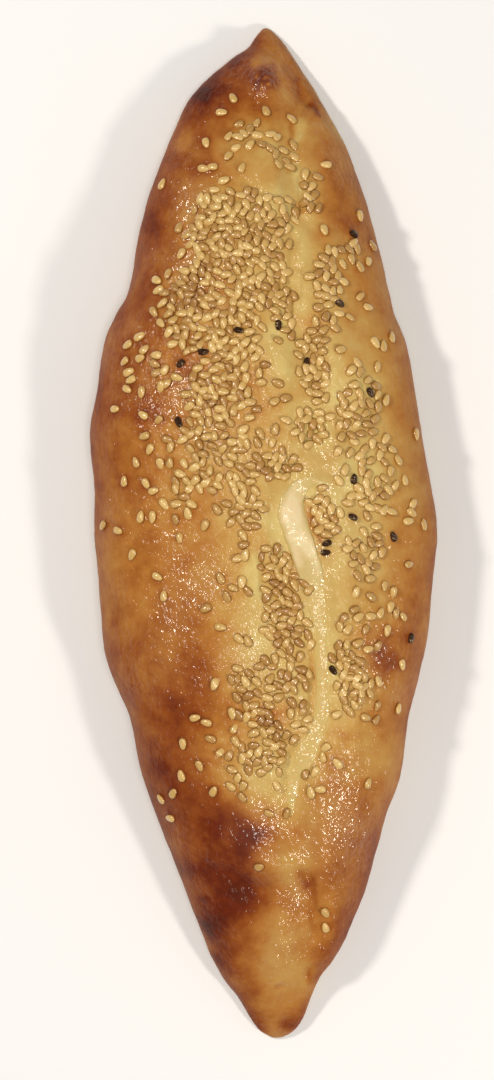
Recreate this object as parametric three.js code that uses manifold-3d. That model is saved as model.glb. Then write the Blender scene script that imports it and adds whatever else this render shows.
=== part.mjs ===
// A closed manakish: a boat of leavened dough folded over cheese, its two flaps meeting in a seam that wanders
// along the top, both ends pinched to a point, strewn with sesame and a few nigella seeds and baked on a flat
// sheet. The seam has opened in the middle, and a ribbon of melted cheese shows there.
//
// Millimetres. +Y runs along the loaf to its sharper tip, +X to the right of it, +Z up. The loaf rests on z = 0.
import * as THREE from "three";
import { LoftGeometry } from "three/addons/geometries/LoftGeometry.js";
import { mergeVertices } from "three/addons/utils/BufferGeometryUtils.js";
import Module from "manifold-3d";

// The loaf
const LENGTH = 260;
const WIDTH = 88;
const CROWN = 34; // height in the middle of the length, without the relief
const CROWN_REACH = 2.4; // powers that shape the crown line: how long it stays high, and how bluntly it ends
const CROWN_BLUNTNESS = 0.8;
const WAIST = 0.36; // share of the local height where a section is widest
const UNDERSIDE = 1.55; // how far a section would reach below its waist, in waists, if the sheet didn't flatten it
const STATIONS = 100;
const SECTION_POINTS = 40;
const TIP_TRIM = 0.004; // share of the outline left off at each tip, where a small cap closes the skin

// The seam
const VALLEY_DEPTH = 1.8;
const VALLEY_HALF_WIDTH = 5.5;
const LIP_HEIGHT = 1.3;
const LIP_HALF_WIDTH = 3.5;
const LIP_OFFSET = 7.5; // from the seam line to the top of each lip

// The cheese
const CHEESE_DEPTH = 3.2;
const CHEESE_STEPS = 34;
const CHEESE_POINTS = 12;
const CLEARANCE = 0.3; // between the cheese and its groove

// The seeds: length, width, thickness, and how much narrower the tip is than the blunt end
const SESAME = { length: 3.1, width: 1.9, thickness: 0.9, taper: 0.3, around: 8, along: 5 };
const NIGELLA = { length: 2.6, width: 1.5, thickness: 1.2, taper: 0.22, around: 6, along: 5 };
const SEED_GAP = 0.12; // between a seed and the crust that it lies on

const COLOURS = { crust: 0xb5702f, cheese: 0xe8d9a4, sesame: 0xd9ac6a, nigella: 0x1d1612 };
const ROUGHNESS = { crust: 0.45, cheese: 0.35, sesame: 0.5, nigella: 0.6 };

// The outline from the sharp tip to the blunt one. Each row is a share of the half length, then the left and the
// right edge as shares of the half width.
const OUTLINE = [
  [1.0, 0.01, 0.01],
  [0.977, -0.045, 0.09],
  [0.954, -0.085, 0.14],
  [0.93, -0.19, 0.186],
  [0.86, -0.42, 0.314],
  [0.785, -0.52, 0.436],
  [0.69, -0.635, 0.555],
  [0.585, -0.72, 0.645],
  [0.477, -0.777, 0.723],
  [0.43, -0.855, 0.755],
  [0.37, -0.927, 0.827],
  [0.277, -0.963, 0.877],
  [0.192, -1.0, 0.918],
  [0.092, -0.973, 0.964],
  [0.0, -0.977, 1.0],
  [-0.092, -0.955, 0.982],
  [-0.215, -0.923, 0.94],
  [-0.277, -0.875, 0.905],
  [-0.37, -0.768, 0.84],
  [-0.477, -0.7, 0.798],
  [-0.57, -0.6, 0.695],
  [-0.692, -0.46, 0.6],
  [-0.815, -0.323, 0.45],
  [-0.877, -0.232, 0.323],
  [-0.915, -0.145, 0.273],
  [-0.95, -0.085, 0.235],
  [-0.977, -0.035, 0.195],
  [-0.993, 0.025, 0.14],
  [-1.0, 0.08, 0.085],
];

// The seam line, as x and y, from the sharp tip to the blunt one
const SEAM = [
  [5, 124],
  [9, 115],
  [11, 108],
  [9, 98],
  [10, 85],
  [8, 72],
  [8, 57],
  [10, 48],
  [15, 36],
  [13, 24],
  [8, 12],
  [9, 0],
  [12, -12],
  [15, -26],
  [15, -40],
  [13, -53],
  [9, -62],
  [7, -72],
  [9, -84],
  [12, -97],
  [12, -109],
  [9, -120],
];

// Hollows and swellings of the crust: x, y, half length, half width, turn of the long axis from +Y clockwise in
// degrees, and height
const SWELLINGS = [
  [4.5, -22, 22, 5, 0, -1.5], // the hollow left of the cheese, where seeds gather
  [-2.5, -22, 20, 3, 0, 0.8],
  [11, 66, 15, 3, 3, 0.9],
  [21, -14, 24, 7, -6, 1.1],
  [-30, 27, 30, 10, 5, 0.8],
  [0.5, 116, 5, 3.5, 0, 1.2],
  [-8, 80, 22, 9, -10, 0.9],
  [5, -84, 4.5, 5.5, 0, 1.7],
  [-6, -88, 3.5, 10, 15, -1.2],
  [-8, -96, 8, 8, 0, 1],
  [14, -100, 14, 3.5, 0, 0.9],
  [22, -70, 14, 9, -15, 0.9],
  [-24, -58, 16, 7, -15, 0.7],
];

// The cheese ribbon in the opened seam: x, y, half width, and how far it bulges over the crust
const CHEESE = [
  [9.5, 12.5, 1.2, 0.2],
  [7.2, 8.8, 3.4, 0.8],
  [7.2, 4.6, 4.1, 1.2],
  [8.5, 0.6, 3.7, 1.2],
  [10.6, -4.2, 3.2, 0.9],
  [12.0, -10, 3.1, 0.6],
  [13.4, -18, 2.8, 0.4],
  [14.9, -28, 2.4, 0.3],
  [15.2, -38, 2.1, 0.3],
  [14.6, -47, 1.9, 0.3],
  [12.6, -54.5, 1.9, 0.3],
  [9.4, -60, 1.7, 0.3],
  [7.3, -66, 1.4, 0.2],
  [6.8, -70, 0.7, 0.1],
];

// Nigella seeds: x, y, and the turn of the long axis from +Y, clockwise as seen from above, in degrees
const NIGELLA_PLACES = [
  [22.7, 76, 115],
  [19.1, 58.2, 120],
  [3.6, 52.6, 5],
  [-6.2, 51.3, 100],
  [-15.2, 45.9, 85],
  [-20.9, 43, 45],
  [10.6, 43.3, 30],
  [26.8, 35.6, 150],
  [-21.4, 28.1, 160],
  [22.7, 13.7, 10],
  [22.4, 3.9, 115],
  [32.7, -1, 155],
  [15.9, -2.5, 70],
  [15.7, -4.8, 85],
  [37.1, -26.8, 15],
  [17.8, -34.8, 145],
];

// The sesame seeds that lie apart from the rest on the shoulders, the flanks and the ends: x, y and turn
const SESAME_PLACES = [
  [-7.6, 110.9, 155],
  [-10.6, 107.3, 95],
  [0.8, 107.6, 160],
  [6.9, 105.6, 120],
  [-14.4, 99.4, 160],
  [15.9, 93.8, 90],
  [-25.4, 89, 20],
  [24.2, 80.8, 10],
  [24.3, 67.7, 150],
  [26.3, 57.3, 95],
  [32.3, 49.8, 30],
  [-34.2, 47.9, 75],
  [-34.9, 43.7, 60],
  [-33.4, 39, 75],
  [-34.3, 36.4, 115],
  [-30.7, 35.7, 5],
  [-37.4, 31.5, 95],
  [-30.3, 29.8, 120],
  [30.8, 23.9, 40],
  [-28.5, 21.3, 30],
  [-32, 18, 155],
  [-35.1, 13.2, 5],
  [-27.7, 10.8, 75],
  [35.6, 13.4, 170],
  [40.4, 2.1, 165],
  [-40.4, 2, 60],
  [-36.6, 0.5, 100],
  [-33, -5.5, 30],
  [36.6, -7.9, 85],
  [-26.7, -11.2, 115],
  [31.2, -24.8, 10],
  [35, -33.5, 155],
  [-17.2, -46.8, 75],
  [-14.4, -48.2, 100],
  [-20.3, -53.6, 0],
  [-20.6, -61.7, 170],
  [-22.6, -66.1, 40],
  [-23.4, -72.7, 80],
  [15.8, -96.8, 150],
  [15.8, -100.6, 160],
];

const wasm = await Module();
wasm.setup();

// A closed three.js geometry as a manifold-3d solid.
function solidOf(geometry) {
  const bare = new THREE.BufferGeometry();
  bare.setAttribute("position", geometry.getAttribute("position").clone());
  bare.setIndex(geometry.index.clone());
  const merged = mergeVertices(bare, 1e-4);
  const corners = merged.index.array;
  const kept = [];
  for (let i = 0; i < corners.length; i += 3) {
    const [a, b, c] = corners.slice(i, i + 3);
    if (a !== b && b !== c && c !== a) kept.push(a, b, c);
  }
  const vertProperties = new Float32Array(merged.attributes.position.array);
  const triVerts = new Uint32Array(kept);
  return new wasm.Manifold(new wasm.Mesh({ numProp: 3, vertProperties, triVerts }));
}

// The other way round: a solid's mesh as a three.js geometry.
function geometryOf(solid) {
  const mesh = solid.getMesh();
  const geometry = new THREE.BufferGeometry();
  geometry.setAttribute("position", new THREE.BufferAttribute(mesh.vertProperties, 3));
  geometry.setIndex(new THREE.BufferAttribute(mesh.triVerts, 1));
  return geometry;
}

// A loft whose ends close on the middles of the first and the last section.
function closedLoft(sections) {
  const pole = (section) => {
    const middle = new THREE.Vector3();
    section.forEach((point) => middle.addScaledVector(point, 1 / section.length));
    return section.map(() => middle);
  };
  return new LoftGeometry([pole(sections[0]), ...sections, pole(sections.at(-1))]);
}

function materialFor(kind) {
  return new THREE.MeshStandardMaterial({ color: COLOURS[kind], roughness: ROUGHNESS[kind], metalness: 0 });
}

function meshFrom(name, geometry, kind) {
  const mesh = new THREE.Mesh(geometry, materialFor(kind));
  mesh.name = name;
  return mesh;
}

// A smooth hump of height 1 at distance 0 that has died away at about twice the half width.
const hump = (distance, halfWidth) => Math.exp(-((distance / halfWidth) ** 2));

const seamCurve = new THREE.SplineCurve(SEAM.map(([x, y]) => new THREE.Vector2(x, y)));
const seamPoints = seamCurve.getPoints(SEAM.length * 6);

// What the swellings add at (x, y).
function swellingRelief(x, y) {
  let total = 0;
  for (const [centreX, centreY, halfLength, halfWidth, turn, height] of SWELLINGS) {
    const angle = THREE.MathUtils.degToRad(turn);
    const along = (x - centreX) * Math.sin(angle) + (y - centreY) * Math.cos(angle);
    const across = (x - centreX) * Math.cos(angle) - (y - centreY) * Math.sin(angle);
    total += height * hump(Math.hypot(along / halfLength, across / halfWidth), 1);
  }
  return total;
}

// What the seam adds at (x, y): a valley along its line, and a lip each side of it.
function seamRelief(x, y) {
  let nearest = seamPoints[0];
  for (const point of seamPoints) {
    if (Math.hypot(point.x - x, point.y - y) < Math.hypot(nearest.x - x, nearest.y - y)) nearest = point;
  }
  const distance = Math.hypot(nearest.x - x, nearest.y - y);
  const lip = LIP_HEIGHT * hump(distance - LIP_OFFSET, LIP_HALF_WIDTH);
  return lip - VALLEY_DEPTH * hump(distance, VALLEY_HALF_WIDTH);
}

// One section of the loaf between its left and right edge points: a dome over a flattened underside.
function breadSection(left, right) {
  const reach = Math.abs(left.y + right.y) / LENGTH;
  const height = CROWN * (1 - reach ** CROWN_REACH) ** CROWN_BLUNTNESS;
  const waist = WAIST * height;
  const reliefShare = Math.min(1, (2 * height) / CROWN);
  const points = [];
  for (let i = 0; i < SECTION_POINTS; i++) {
    const angle = (i / SECTION_POINTS) * 2 * Math.PI;
    const across = Math.sign(Math.cos(angle)) * Math.abs(Math.cos(angle)) ** 0.92;
    const place = left.clone().lerp(right, (1 + across) / 2);
    const rise = Math.sin(angle);
    const upper = waist + (height - waist) * Math.max(rise, 0) ** 0.94;
    const lower = waist * UNDERSIDE * Math.max(-rise, 0) ** 0.8;
    const relief = seamRelief(place.x, place.y) + swellingRelief(place.x, place.y);
    const level = upper - lower + Math.max(rise, 0) * reliefShare * relief;
    points.push(new THREE.Vector3(place.x, place.y, Math.max(0, level)));
  }
  return points;
}

function breadGeometry() {
  const edge = (column) =>
    new THREE.SplineCurve(
      OUTLINE.map((row) => new THREE.Vector2((row[column] * WIDTH) / 2, (row[0] * LENGTH) / 2)),
    );
  const leftEdge = edge(1);
  const rightEdge = edge(2);
  const sections = [];
  for (let i = 0; i <= STATIONS; i++) {
    const t = THREE.MathUtils.clamp(i / STATIONS, TIP_TRIM, 1 - TIP_TRIM);
    sections.push(breadSection(leftEdge.getPoint(t), rightEdge.getPoint(t)));
  }
  const geometry = closedLoft(sections);
  geometry.computeBoundingBox();
  const centre = geometry.boundingBox.getCenter(new THREE.Vector3());
  return geometry.translate(-centre.x, -centre.y, 0);
}

const wholeBread = breadGeometry();
const crust = new THREE.Mesh(wholeBread, new THREE.MeshBasicMaterial({ side: THREE.DoubleSide }));
const probe = new THREE.Raycaster();

// The point of the crust straight below (x, y), and the crust's outward normal there.
function crustAt(x, y) {
  probe.set(new THREE.Vector3(x, y, 2 * CROWN), new THREE.Vector3(0, 0, -1));
  const hit = probe.intersectObject(crust)[0];
  const normal = hit.face.normal.clone();
  return { point: hit.point, normal: normal.z < 0 ? normal.negate() : normal };
}

// The cheese ribbon, or with a margin the room that it needs: a loft of lens-shaped sections along the seam.
function ribbonGeometry(margin, headroom) {
  const line = new THREE.CatmullRomCurve3(CHEESE.map(([x, y]) => new THREE.Vector3(x, y, 0)));
  const swell = new THREE.SplineCurve(CHEESE.map(([, , half, bulge]) => new THREE.Vector2(half, bulge)));
  const sections = [];
  for (let i = 0; i <= CHEESE_STEPS; i++) {
    const t = i / CHEESE_STEPS;
    const heading = line.getTangent(t);
    const centre = line.getPoint(t).addScaledVector(heading, Math.sign(t - 0.5) * (i % CHEESE_STEPS ? 0 : margin));
    const sideways = new THREE.Vector3(-heading.y, heading.x, 0);
    const half = swell.getPoint(t).x + margin;
    const top = swell.getPoint(t).y + headroom;
    const points = [];
    for (let k = 0; k < CHEESE_POINTS; k++) {
      const angle = (k / CHEESE_POINTS) * 2 * Math.PI;
      const place = centre.clone().addScaledVector(sideways, half * Math.cos(angle));
      const level = crustAt(place.x, place.y).point.z;
      const depth = CHEESE_DEPTH * Math.min(1, half / 2) + margin;
      const rise = Math.sin(angle) > 0 ? top : depth;
      points.push(place.setZ(level + rise * Math.sin(angle)));
    }
    sections.push(points);
  }
  return closedLoft(sections);
}

// A seed's own shape: a flattened ellipsoid along Y that narrows towards +Y.
function seedGeometry({ length, width, thickness, taper, around, along }) {
  const geometry = new THREE.SphereGeometry(1, around, along);
  const position = geometry.getAttribute("position");
  for (let i = 0; i < position.count; i++) {
    const y = position.getY(i);
    const girth = 1 - taper * y;
    position.setXYZ(
      i,
      (position.getX(i) * girth * width) / 2,
      (y * length) / 2,
      (position.getZ(i) * girth * thickness) / 2,
    );
  }
  return geometry;
}

// Lays a seed flat on the crust at (x, y), its tip turned clockwise from +Y.
function layOnCrust(mesh, [x, y, turn], seed) {
  const { point, normal } = crustAt(x, y);
  const angle = THREE.MathUtils.degToRad(turn);
  const heading = new THREE.Vector3(Math.sin(angle), Math.cos(angle), 0).projectOnPlane(normal).normalize();
  const sideways = heading.clone().cross(normal);
  mesh.quaternion.setFromRotationMatrix(new THREE.Matrix4().makeBasis(sideways, heading, normal));
  const girth = 1 + seed.taper / 2;
  mesh.position.copy(point).addScaledVector(normal, (seed.thickness / 2) * girth + SEED_GAP);
  return mesh;
}

function scatter(prefix, places, seed, kind) {
  const group = new THREE.Group();
  places.forEach((place, index) => {
    const name = `${prefix}_${String(index + 1).padStart(2, "0")}`;
    group.add(layOnCrust(meshFrom(name, seedGeometry(seed), kind), place, seed));
  });
  return group;
}

const groove = solidOf(ribbonGeometry(CLEARANCE, CROWN / 4));
const bread = meshFrom("bread", geometryOf(solidOf(wholeBread).subtract(groove)), "crust");
const cheese = meshFrom("cheese_ribbon", geometryOf(solidOf(ribbonGeometry(0, 0))), "cheese");

const manakish = new THREE.Group();
manakish.add(bread, cheese);
manakish.add(scatter("nigella_seed", NIGELLA_PLACES, NIGELLA, "nigella"));
manakish.add(scatter("sesame_seed", SESAME_PLACES, SESAME, "sesame"));

export default manakish;
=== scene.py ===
"""The looks of a closed cheese manakish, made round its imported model.

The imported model's frame holds throughout: metres, +Y along the loaf to its sharper tip, +X to the right of
it, +Z up, and the loaf resting on z = 0. Places on the loaf are given as seen from above, in millimetres,
and are brought down onto its crust by a ray.
"""

import logging
import math
import random
from dataclasses import dataclass, field
from enum import Enum

import bmesh
import bpy
import numpy as np
from mathutils import Matrix, Vector, noise
from mathutils.bvhtree import BVHTree
from mathutils.kdtree import KDTree


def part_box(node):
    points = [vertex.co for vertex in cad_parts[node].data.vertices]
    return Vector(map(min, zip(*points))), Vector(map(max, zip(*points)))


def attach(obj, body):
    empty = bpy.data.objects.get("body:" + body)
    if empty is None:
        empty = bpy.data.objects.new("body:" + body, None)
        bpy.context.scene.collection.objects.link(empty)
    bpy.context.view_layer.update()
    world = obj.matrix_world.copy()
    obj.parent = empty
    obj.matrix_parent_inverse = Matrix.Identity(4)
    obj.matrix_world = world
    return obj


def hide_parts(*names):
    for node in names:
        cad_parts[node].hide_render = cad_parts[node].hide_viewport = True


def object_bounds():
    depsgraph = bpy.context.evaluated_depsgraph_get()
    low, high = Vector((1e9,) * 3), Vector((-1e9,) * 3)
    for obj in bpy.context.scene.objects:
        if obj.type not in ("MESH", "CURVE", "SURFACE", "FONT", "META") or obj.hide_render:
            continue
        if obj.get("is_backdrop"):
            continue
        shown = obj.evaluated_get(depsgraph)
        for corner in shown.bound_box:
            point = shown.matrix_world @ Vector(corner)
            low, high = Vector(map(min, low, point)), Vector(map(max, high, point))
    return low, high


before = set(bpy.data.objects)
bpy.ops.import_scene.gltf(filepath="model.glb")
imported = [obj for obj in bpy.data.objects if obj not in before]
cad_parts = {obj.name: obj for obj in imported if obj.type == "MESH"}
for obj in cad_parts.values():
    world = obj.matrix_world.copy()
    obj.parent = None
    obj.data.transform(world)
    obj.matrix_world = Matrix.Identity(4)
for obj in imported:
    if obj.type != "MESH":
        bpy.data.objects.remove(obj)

log = logging.getLogger("manakish")

MM = 0.001
BODY = "root"
UP = Vector((0.0, 0.0, 1.0))
ABOVE = 0.2  # a height well over the loaf, where its rays start
WELD = 0.001 * MM  # vertices that are closer than this are one
NOISE_FADE = 1.0  # how fast the finer layers of noise weaken
NOISE_STEP = 2.0  # how much finer each layer is than the last
NOISE_SPREAD = {"From Min": 0.3, "From Max": 0.7, "To Min": -0.5, "To Max": 0.5}
RANDOM_SEED = 11

Colour = tuple[float, float, float]
Stops = tuple[tuple[float, Colour], ...]  # places on a ramp, each with a screen colour of 0 to 255
Range = tuple[float, float]
Line = tuple[tuple[float, float], ...]  # points of x and y, in millimetres
Spots = np.ndarray  # rows of x and y, in millimetres
Socket = bpy.types.NodeSocket


class Slot(Enum):
    """The material slots of the record."""

    CRUST = "crust"
    CHEESE = "cheese"
    SESAME = "sesame"
    NIGELLA = "nigella"


# ---------------------------------------------------------------- places on the loaf


def fade(values: np.ndarray, start: float, end: float) -> np.ndarray:
    """Says how far values have come from a start to an end, from 0 to 1."""
    return np.clip((values - start) / (end - start), 0.0, 1.0)


def tapered(run: np.ndarray, share: float) -> np.ndarray:
    """Fades a line out softly over a share of its length at both ends."""
    inside = fade(np.minimum(run, 1.0 - run), 0.0, share)
    return inside * inside * (3.0 - 2.0 * inside)


def nearest_on(line: Line, spots: Spots) -> tuple[np.ndarray, np.ndarray, np.ndarray]:
    """Finds how far each spot lies from a line, on which side of it, and how far along it.

    Args:
        line: The line's points.
        spots: The places to measure.

    Returns:
        The distances, in millimetres; +1 on the left of the line's course and -1 on its right; and the
        nearest point's share of the line's length, from 0 to 1.
    """
    best = np.full(len(spots), np.inf)
    side = np.ones(len(spots))
    run = np.zeros(len(spots))
    lengths = [math.dist(start, end) for start, end in zip(line, line[1:])]
    travelled = 0.0
    for start, end, length in zip(line, line[1:], lengths):
        first = np.array(start, float)
        course = np.array(end, float) - first
        away = spots - first
        share = np.clip(away @ course / (course @ course), 0.0, 1.0)
        gap = np.linalg.norm(away - share[:, None] * course, axis=1)
        closer = gap < best
        best = np.where(closer, gap, best)
        turn = course[0] * away[:, 1] - course[1] * away[:, 0]
        side = np.where(closer, np.where(turn >= 0, 1.0, -1.0), side)
        run = np.where(closer, (travelled + share * length) / sum(lengths), run)
        travelled += length
    return best, side, run


@dataclass(frozen=True)
class Oval:
    """An oval place on the loaf, full in its middle and faded to a third at its rim."""

    x: float
    y: float
    half_length: float
    half_width: float
    turn: float = 0.0  # of the long axis, clockwise from +Y, in degrees

    def cover(self, spots: Spots) -> np.ndarray:
        """Says how much of the oval each spot feels.

        Args:
            spots: The places to measure.

        Returns:
            One share from 0 to 1 for each spot.
        """
        angle = math.radians(self.turn)
        dx = spots[:, 0] - self.x
        dy = spots[:, 1] - self.y
        along = (dx * math.sin(angle) + dy * math.cos(angle)) / self.half_length
        across = (dx * math.cos(angle) - dy * math.sin(angle)) / self.half_width
        return np.exp(-(along**2) - across**2)


@dataclass(frozen=True)
class Trail:
    """A line along the loaf, full in its middle, faded to a third at its half width and out at its ends."""

    half_width: float
    points: Line
    taper: float = 0.2

    def cover(self, spots: Spots) -> np.ndarray:
        """Says how much of the trail each spot feels.

        Args:
            spots: The places to measure.

        Returns:
            One share from 0 to 1 for each spot.
        """
        gap, _, run = nearest_on(self.points, spots)
        return np.exp(-((gap / self.half_width) ** 2)) * tapered(run, self.taper)


@dataclass(frozen=True)
class Lap:
    """The free edge of a flap: the dough steps up on the line's left and slopes away behind the step."""

    edge: float  # how wide the step is, in millimetres
    reach: float  # how far the slope reaches, in millimetres
    points: Line
    steepness: float = 1.5
    taper: float = 0.2

    def cover(self, spots: Spots) -> np.ndarray:
        """Says how much of the lap each spot feels.

        Args:
            spots: The places to measure.

        Returns:
            One share from 0 to 1 for each spot.
        """
        gap, side, run = nearest_on(self.points, spots)
        step = 0.5 + 0.5 * np.tanh(self.steepness * gap * side / self.edge)
        return step * np.exp(-((gap / self.reach) ** 2)) * tapered(run, self.taper)


Place = Oval | Trail | Lap
Layers = tuple[tuple[float, Place], ...]  # how much of something there is at each place


def laid(layers: Layers, spots: Spots) -> np.ndarray:
    """Adds up what all layers bring to each spot."""
    return sum(amount * place.cover(spots) for amount, place in layers)


# lines that more than one layer follows
UPPER_SEAM = ((9.6, 80), (10.2, 70), (11.0, 60), (11.4, 50))
LOWER_SEAM = ((11.9, -26), (12.5, -34), (12.5, -42), (11.8, -49))
TIP_CREASE = ((10.5, 109.6), (12.3, 109.2), (14.2, 107.4))
FLAP_CREASE = ((7.6, 83.2), (9.5, 82.8), (11.2, 82.4))


# ---------------------------------------------------------------- mesh helpers


def rows_of(elements: bpy.types.bpy_prop_collection, key: str) -> np.ndarray:
    """Reads one vector of every element.

    Args:
        elements: The mesh's vertices, or something else that it has one of for each.
        key: What the vector is called.

    Returns:
        One row of x, y and z for each.
    """
    values = np.empty(len(elements) * 3, np.float32)
    elements.foreach_get(key, values)
    return values.reshape(-1, 3).astype(float)


def places_of(mesh: bpy.types.Mesh) -> np.ndarray:
    """Reads a mesh's vertices, one row each, in metres."""
    return rows_of(mesh.vertices, "co")


def normals_of(mesh: bpy.types.Mesh) -> np.ndarray:
    """Reads a mesh's vertex normals, one row each."""
    return rows_of(mesh.vertex_normals, "vector")


def move_to(mesh: bpy.types.Mesh, places: np.ndarray) -> None:
    """Moves a mesh's vertices to new places, in metres."""
    mesh.vertices.foreach_set("co", places.astype(np.float32).ravel())
    mesh.update()


def note(mesh: bpy.types.Mesh, name: str, values: np.ndarray) -> None:
    """Keeps one number for each vertex on the mesh, for its material to read."""
    layer = mesh.attributes.new(name, "FLOAT", "POINT")
    layer.data.foreach_set("value", values.astype(np.float32))


def mesh_from(bm: bmesh.types.BMesh, name: str) -> bpy.types.Mesh:
    """Turns a bmesh into a mesh and frees it.

    Args:
        bm: The bmesh.
        name: The mesh's name.

    Returns:
        The mesh.
    """
    mesh = bpy.data.meshes.new(name)
    bm.to_mesh(mesh)
    bm.free()
    return mesh


def merged_copy(*nodes: str, swell: float = 0.0) -> bpy.types.Mesh:
    """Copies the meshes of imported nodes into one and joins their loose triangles.

    Args:
        nodes: The nodes' names.
        swell: How far the copies are blown up, in millimetres.

    Returns:
        A mesh of closed shells, in metres.
    """
    bm = bmesh.new()
    for node in nodes:
        bm.from_mesh(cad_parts[node].data)
    bmesh.ops.remove_doubles(bm, verts=bm.verts, dist=WELD)
    bm.normal_update()
    for vertex in bm.verts:
        vertex.co += vertex.normal * swell * MM
    return mesh_from(bm, nodes[0] + "_copy")


def remeshed(mesh: bpy.types.Mesh, grain: float, smoothings: int) -> bpy.types.Mesh:
    """Gives a closed mesh an even skin of small faces.

    Args:
        mesh: The closed mesh, which is used up.
        grain: The size of a face, in millimetres.
        smoothings: How many times the new skin is smoothed.

    Returns:
        The new mesh.
    """
    holder = bpy.data.objects.new("holder", mesh)
    bpy.context.scene.collection.objects.link(holder)
    modifier = holder.modifiers.new("skin", "REMESH")
    modifier.mode = "VOXEL"
    modifier.voxel_size = grain * MM
    graph = bpy.context.evaluated_depsgraph_get()
    skin = bpy.data.meshes.new_from_object(holder.evaluated_get(graph))
    bpy.data.objects.remove(holder)
    bpy.data.meshes.remove(mesh)
    bm = bmesh.new()
    bm.from_mesh(skin)
    every_way = {"use_axis_x": True, "use_axis_y": True, "use_axis_z": True}
    for _ in range(smoothings):
        bmesh.ops.smooth_vert(bm, verts=bm.verts, factor=0.5, **every_way)
    bm.to_mesh(skin)
    bm.free()
    return skin


def finished(
    name: str,
    mesh: bpy.types.Mesh,
    material: bpy.types.Material,
    slot: Slot,
    *nodes: str,
    smooth: bool = True,
) -> bpy.types.Object:
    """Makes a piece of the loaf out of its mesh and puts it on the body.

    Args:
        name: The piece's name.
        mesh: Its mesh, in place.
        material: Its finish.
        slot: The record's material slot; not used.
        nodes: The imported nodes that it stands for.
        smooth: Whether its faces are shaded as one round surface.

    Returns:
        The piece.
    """
    mesh.name = name
    mesh.polygons.foreach_set("use_smooth", np.full(len(mesh.polygons), smooth))
    mesh.materials.clear()
    mesh.materials.append(material)
    piece = bpy.data.objects.new(name, mesh)
    bpy.context.scene.collection.objects.link(piece)
    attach(piece, BODY)
    if nodes:
        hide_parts(*nodes)
    log.info("%s: %d faces", name, len(mesh.polygons))
    return piece


def strayed(spots: Spots, grain: float, reach: float) -> Spots:
    """Shifts places a little this way and that, so that a shape drawn on them loses its ruled edges.

    Args:
        spots: The places.
        grain: How far apart the shifts change, in millimetres.
        reach: The largest shift, in millimetres.

    Returns:
        The shifted places.
    """
    shifts = [noise.noise_vector(Vector((x / grain, y / grain, 0.0)))[:2] for x, y in spots]
    return spots + reach * np.array(shifts)


@dataclass(frozen=True)
class Wander:
    """Smooth noise over the loaf, mostly from minus its strength to its strength."""

    strength: float
    grain: float  # the size of its largest lumps, in millimetres
    octaves: int  # how many layers it has, each finer than the last
    shift: float  # what makes it differ from other noise

    def over(self, places: np.ndarray) -> np.ndarray:
        """Draws the noise.

        Args:
            places: Rows of x, y and z, in metres.

        Returns:
            One number for each place.
        """
        scaled = places / (self.grain * MM) + self.shift
        lumps = [noise.fractal(Vector(row), NOISE_FADE, NOISE_STEP, self.octaves) for row in scaled]
        return self.strength * np.array(lumps)


# ---------------------------------------------------------------- finishes


def linear(red: float, green: float, blue: float) -> tuple[float, float, float, float]:
    """Turns a screen colour into the linear colour that shaders use.

    Args:
        red: The screen colour's red, from 0 to 255.
        green: Its green.
        blue: Its blue.

    Returns:
        Linear red, green, blue and cover, from 0 to 1.
    """
    shares = np.array((red, green, blue)) / 255.0
    light = np.where(shares <= 0.04045, shares / 12.92, ((shares + 0.055) / 1.055) ** 2.4)
    return (*light, 1.0)


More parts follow.
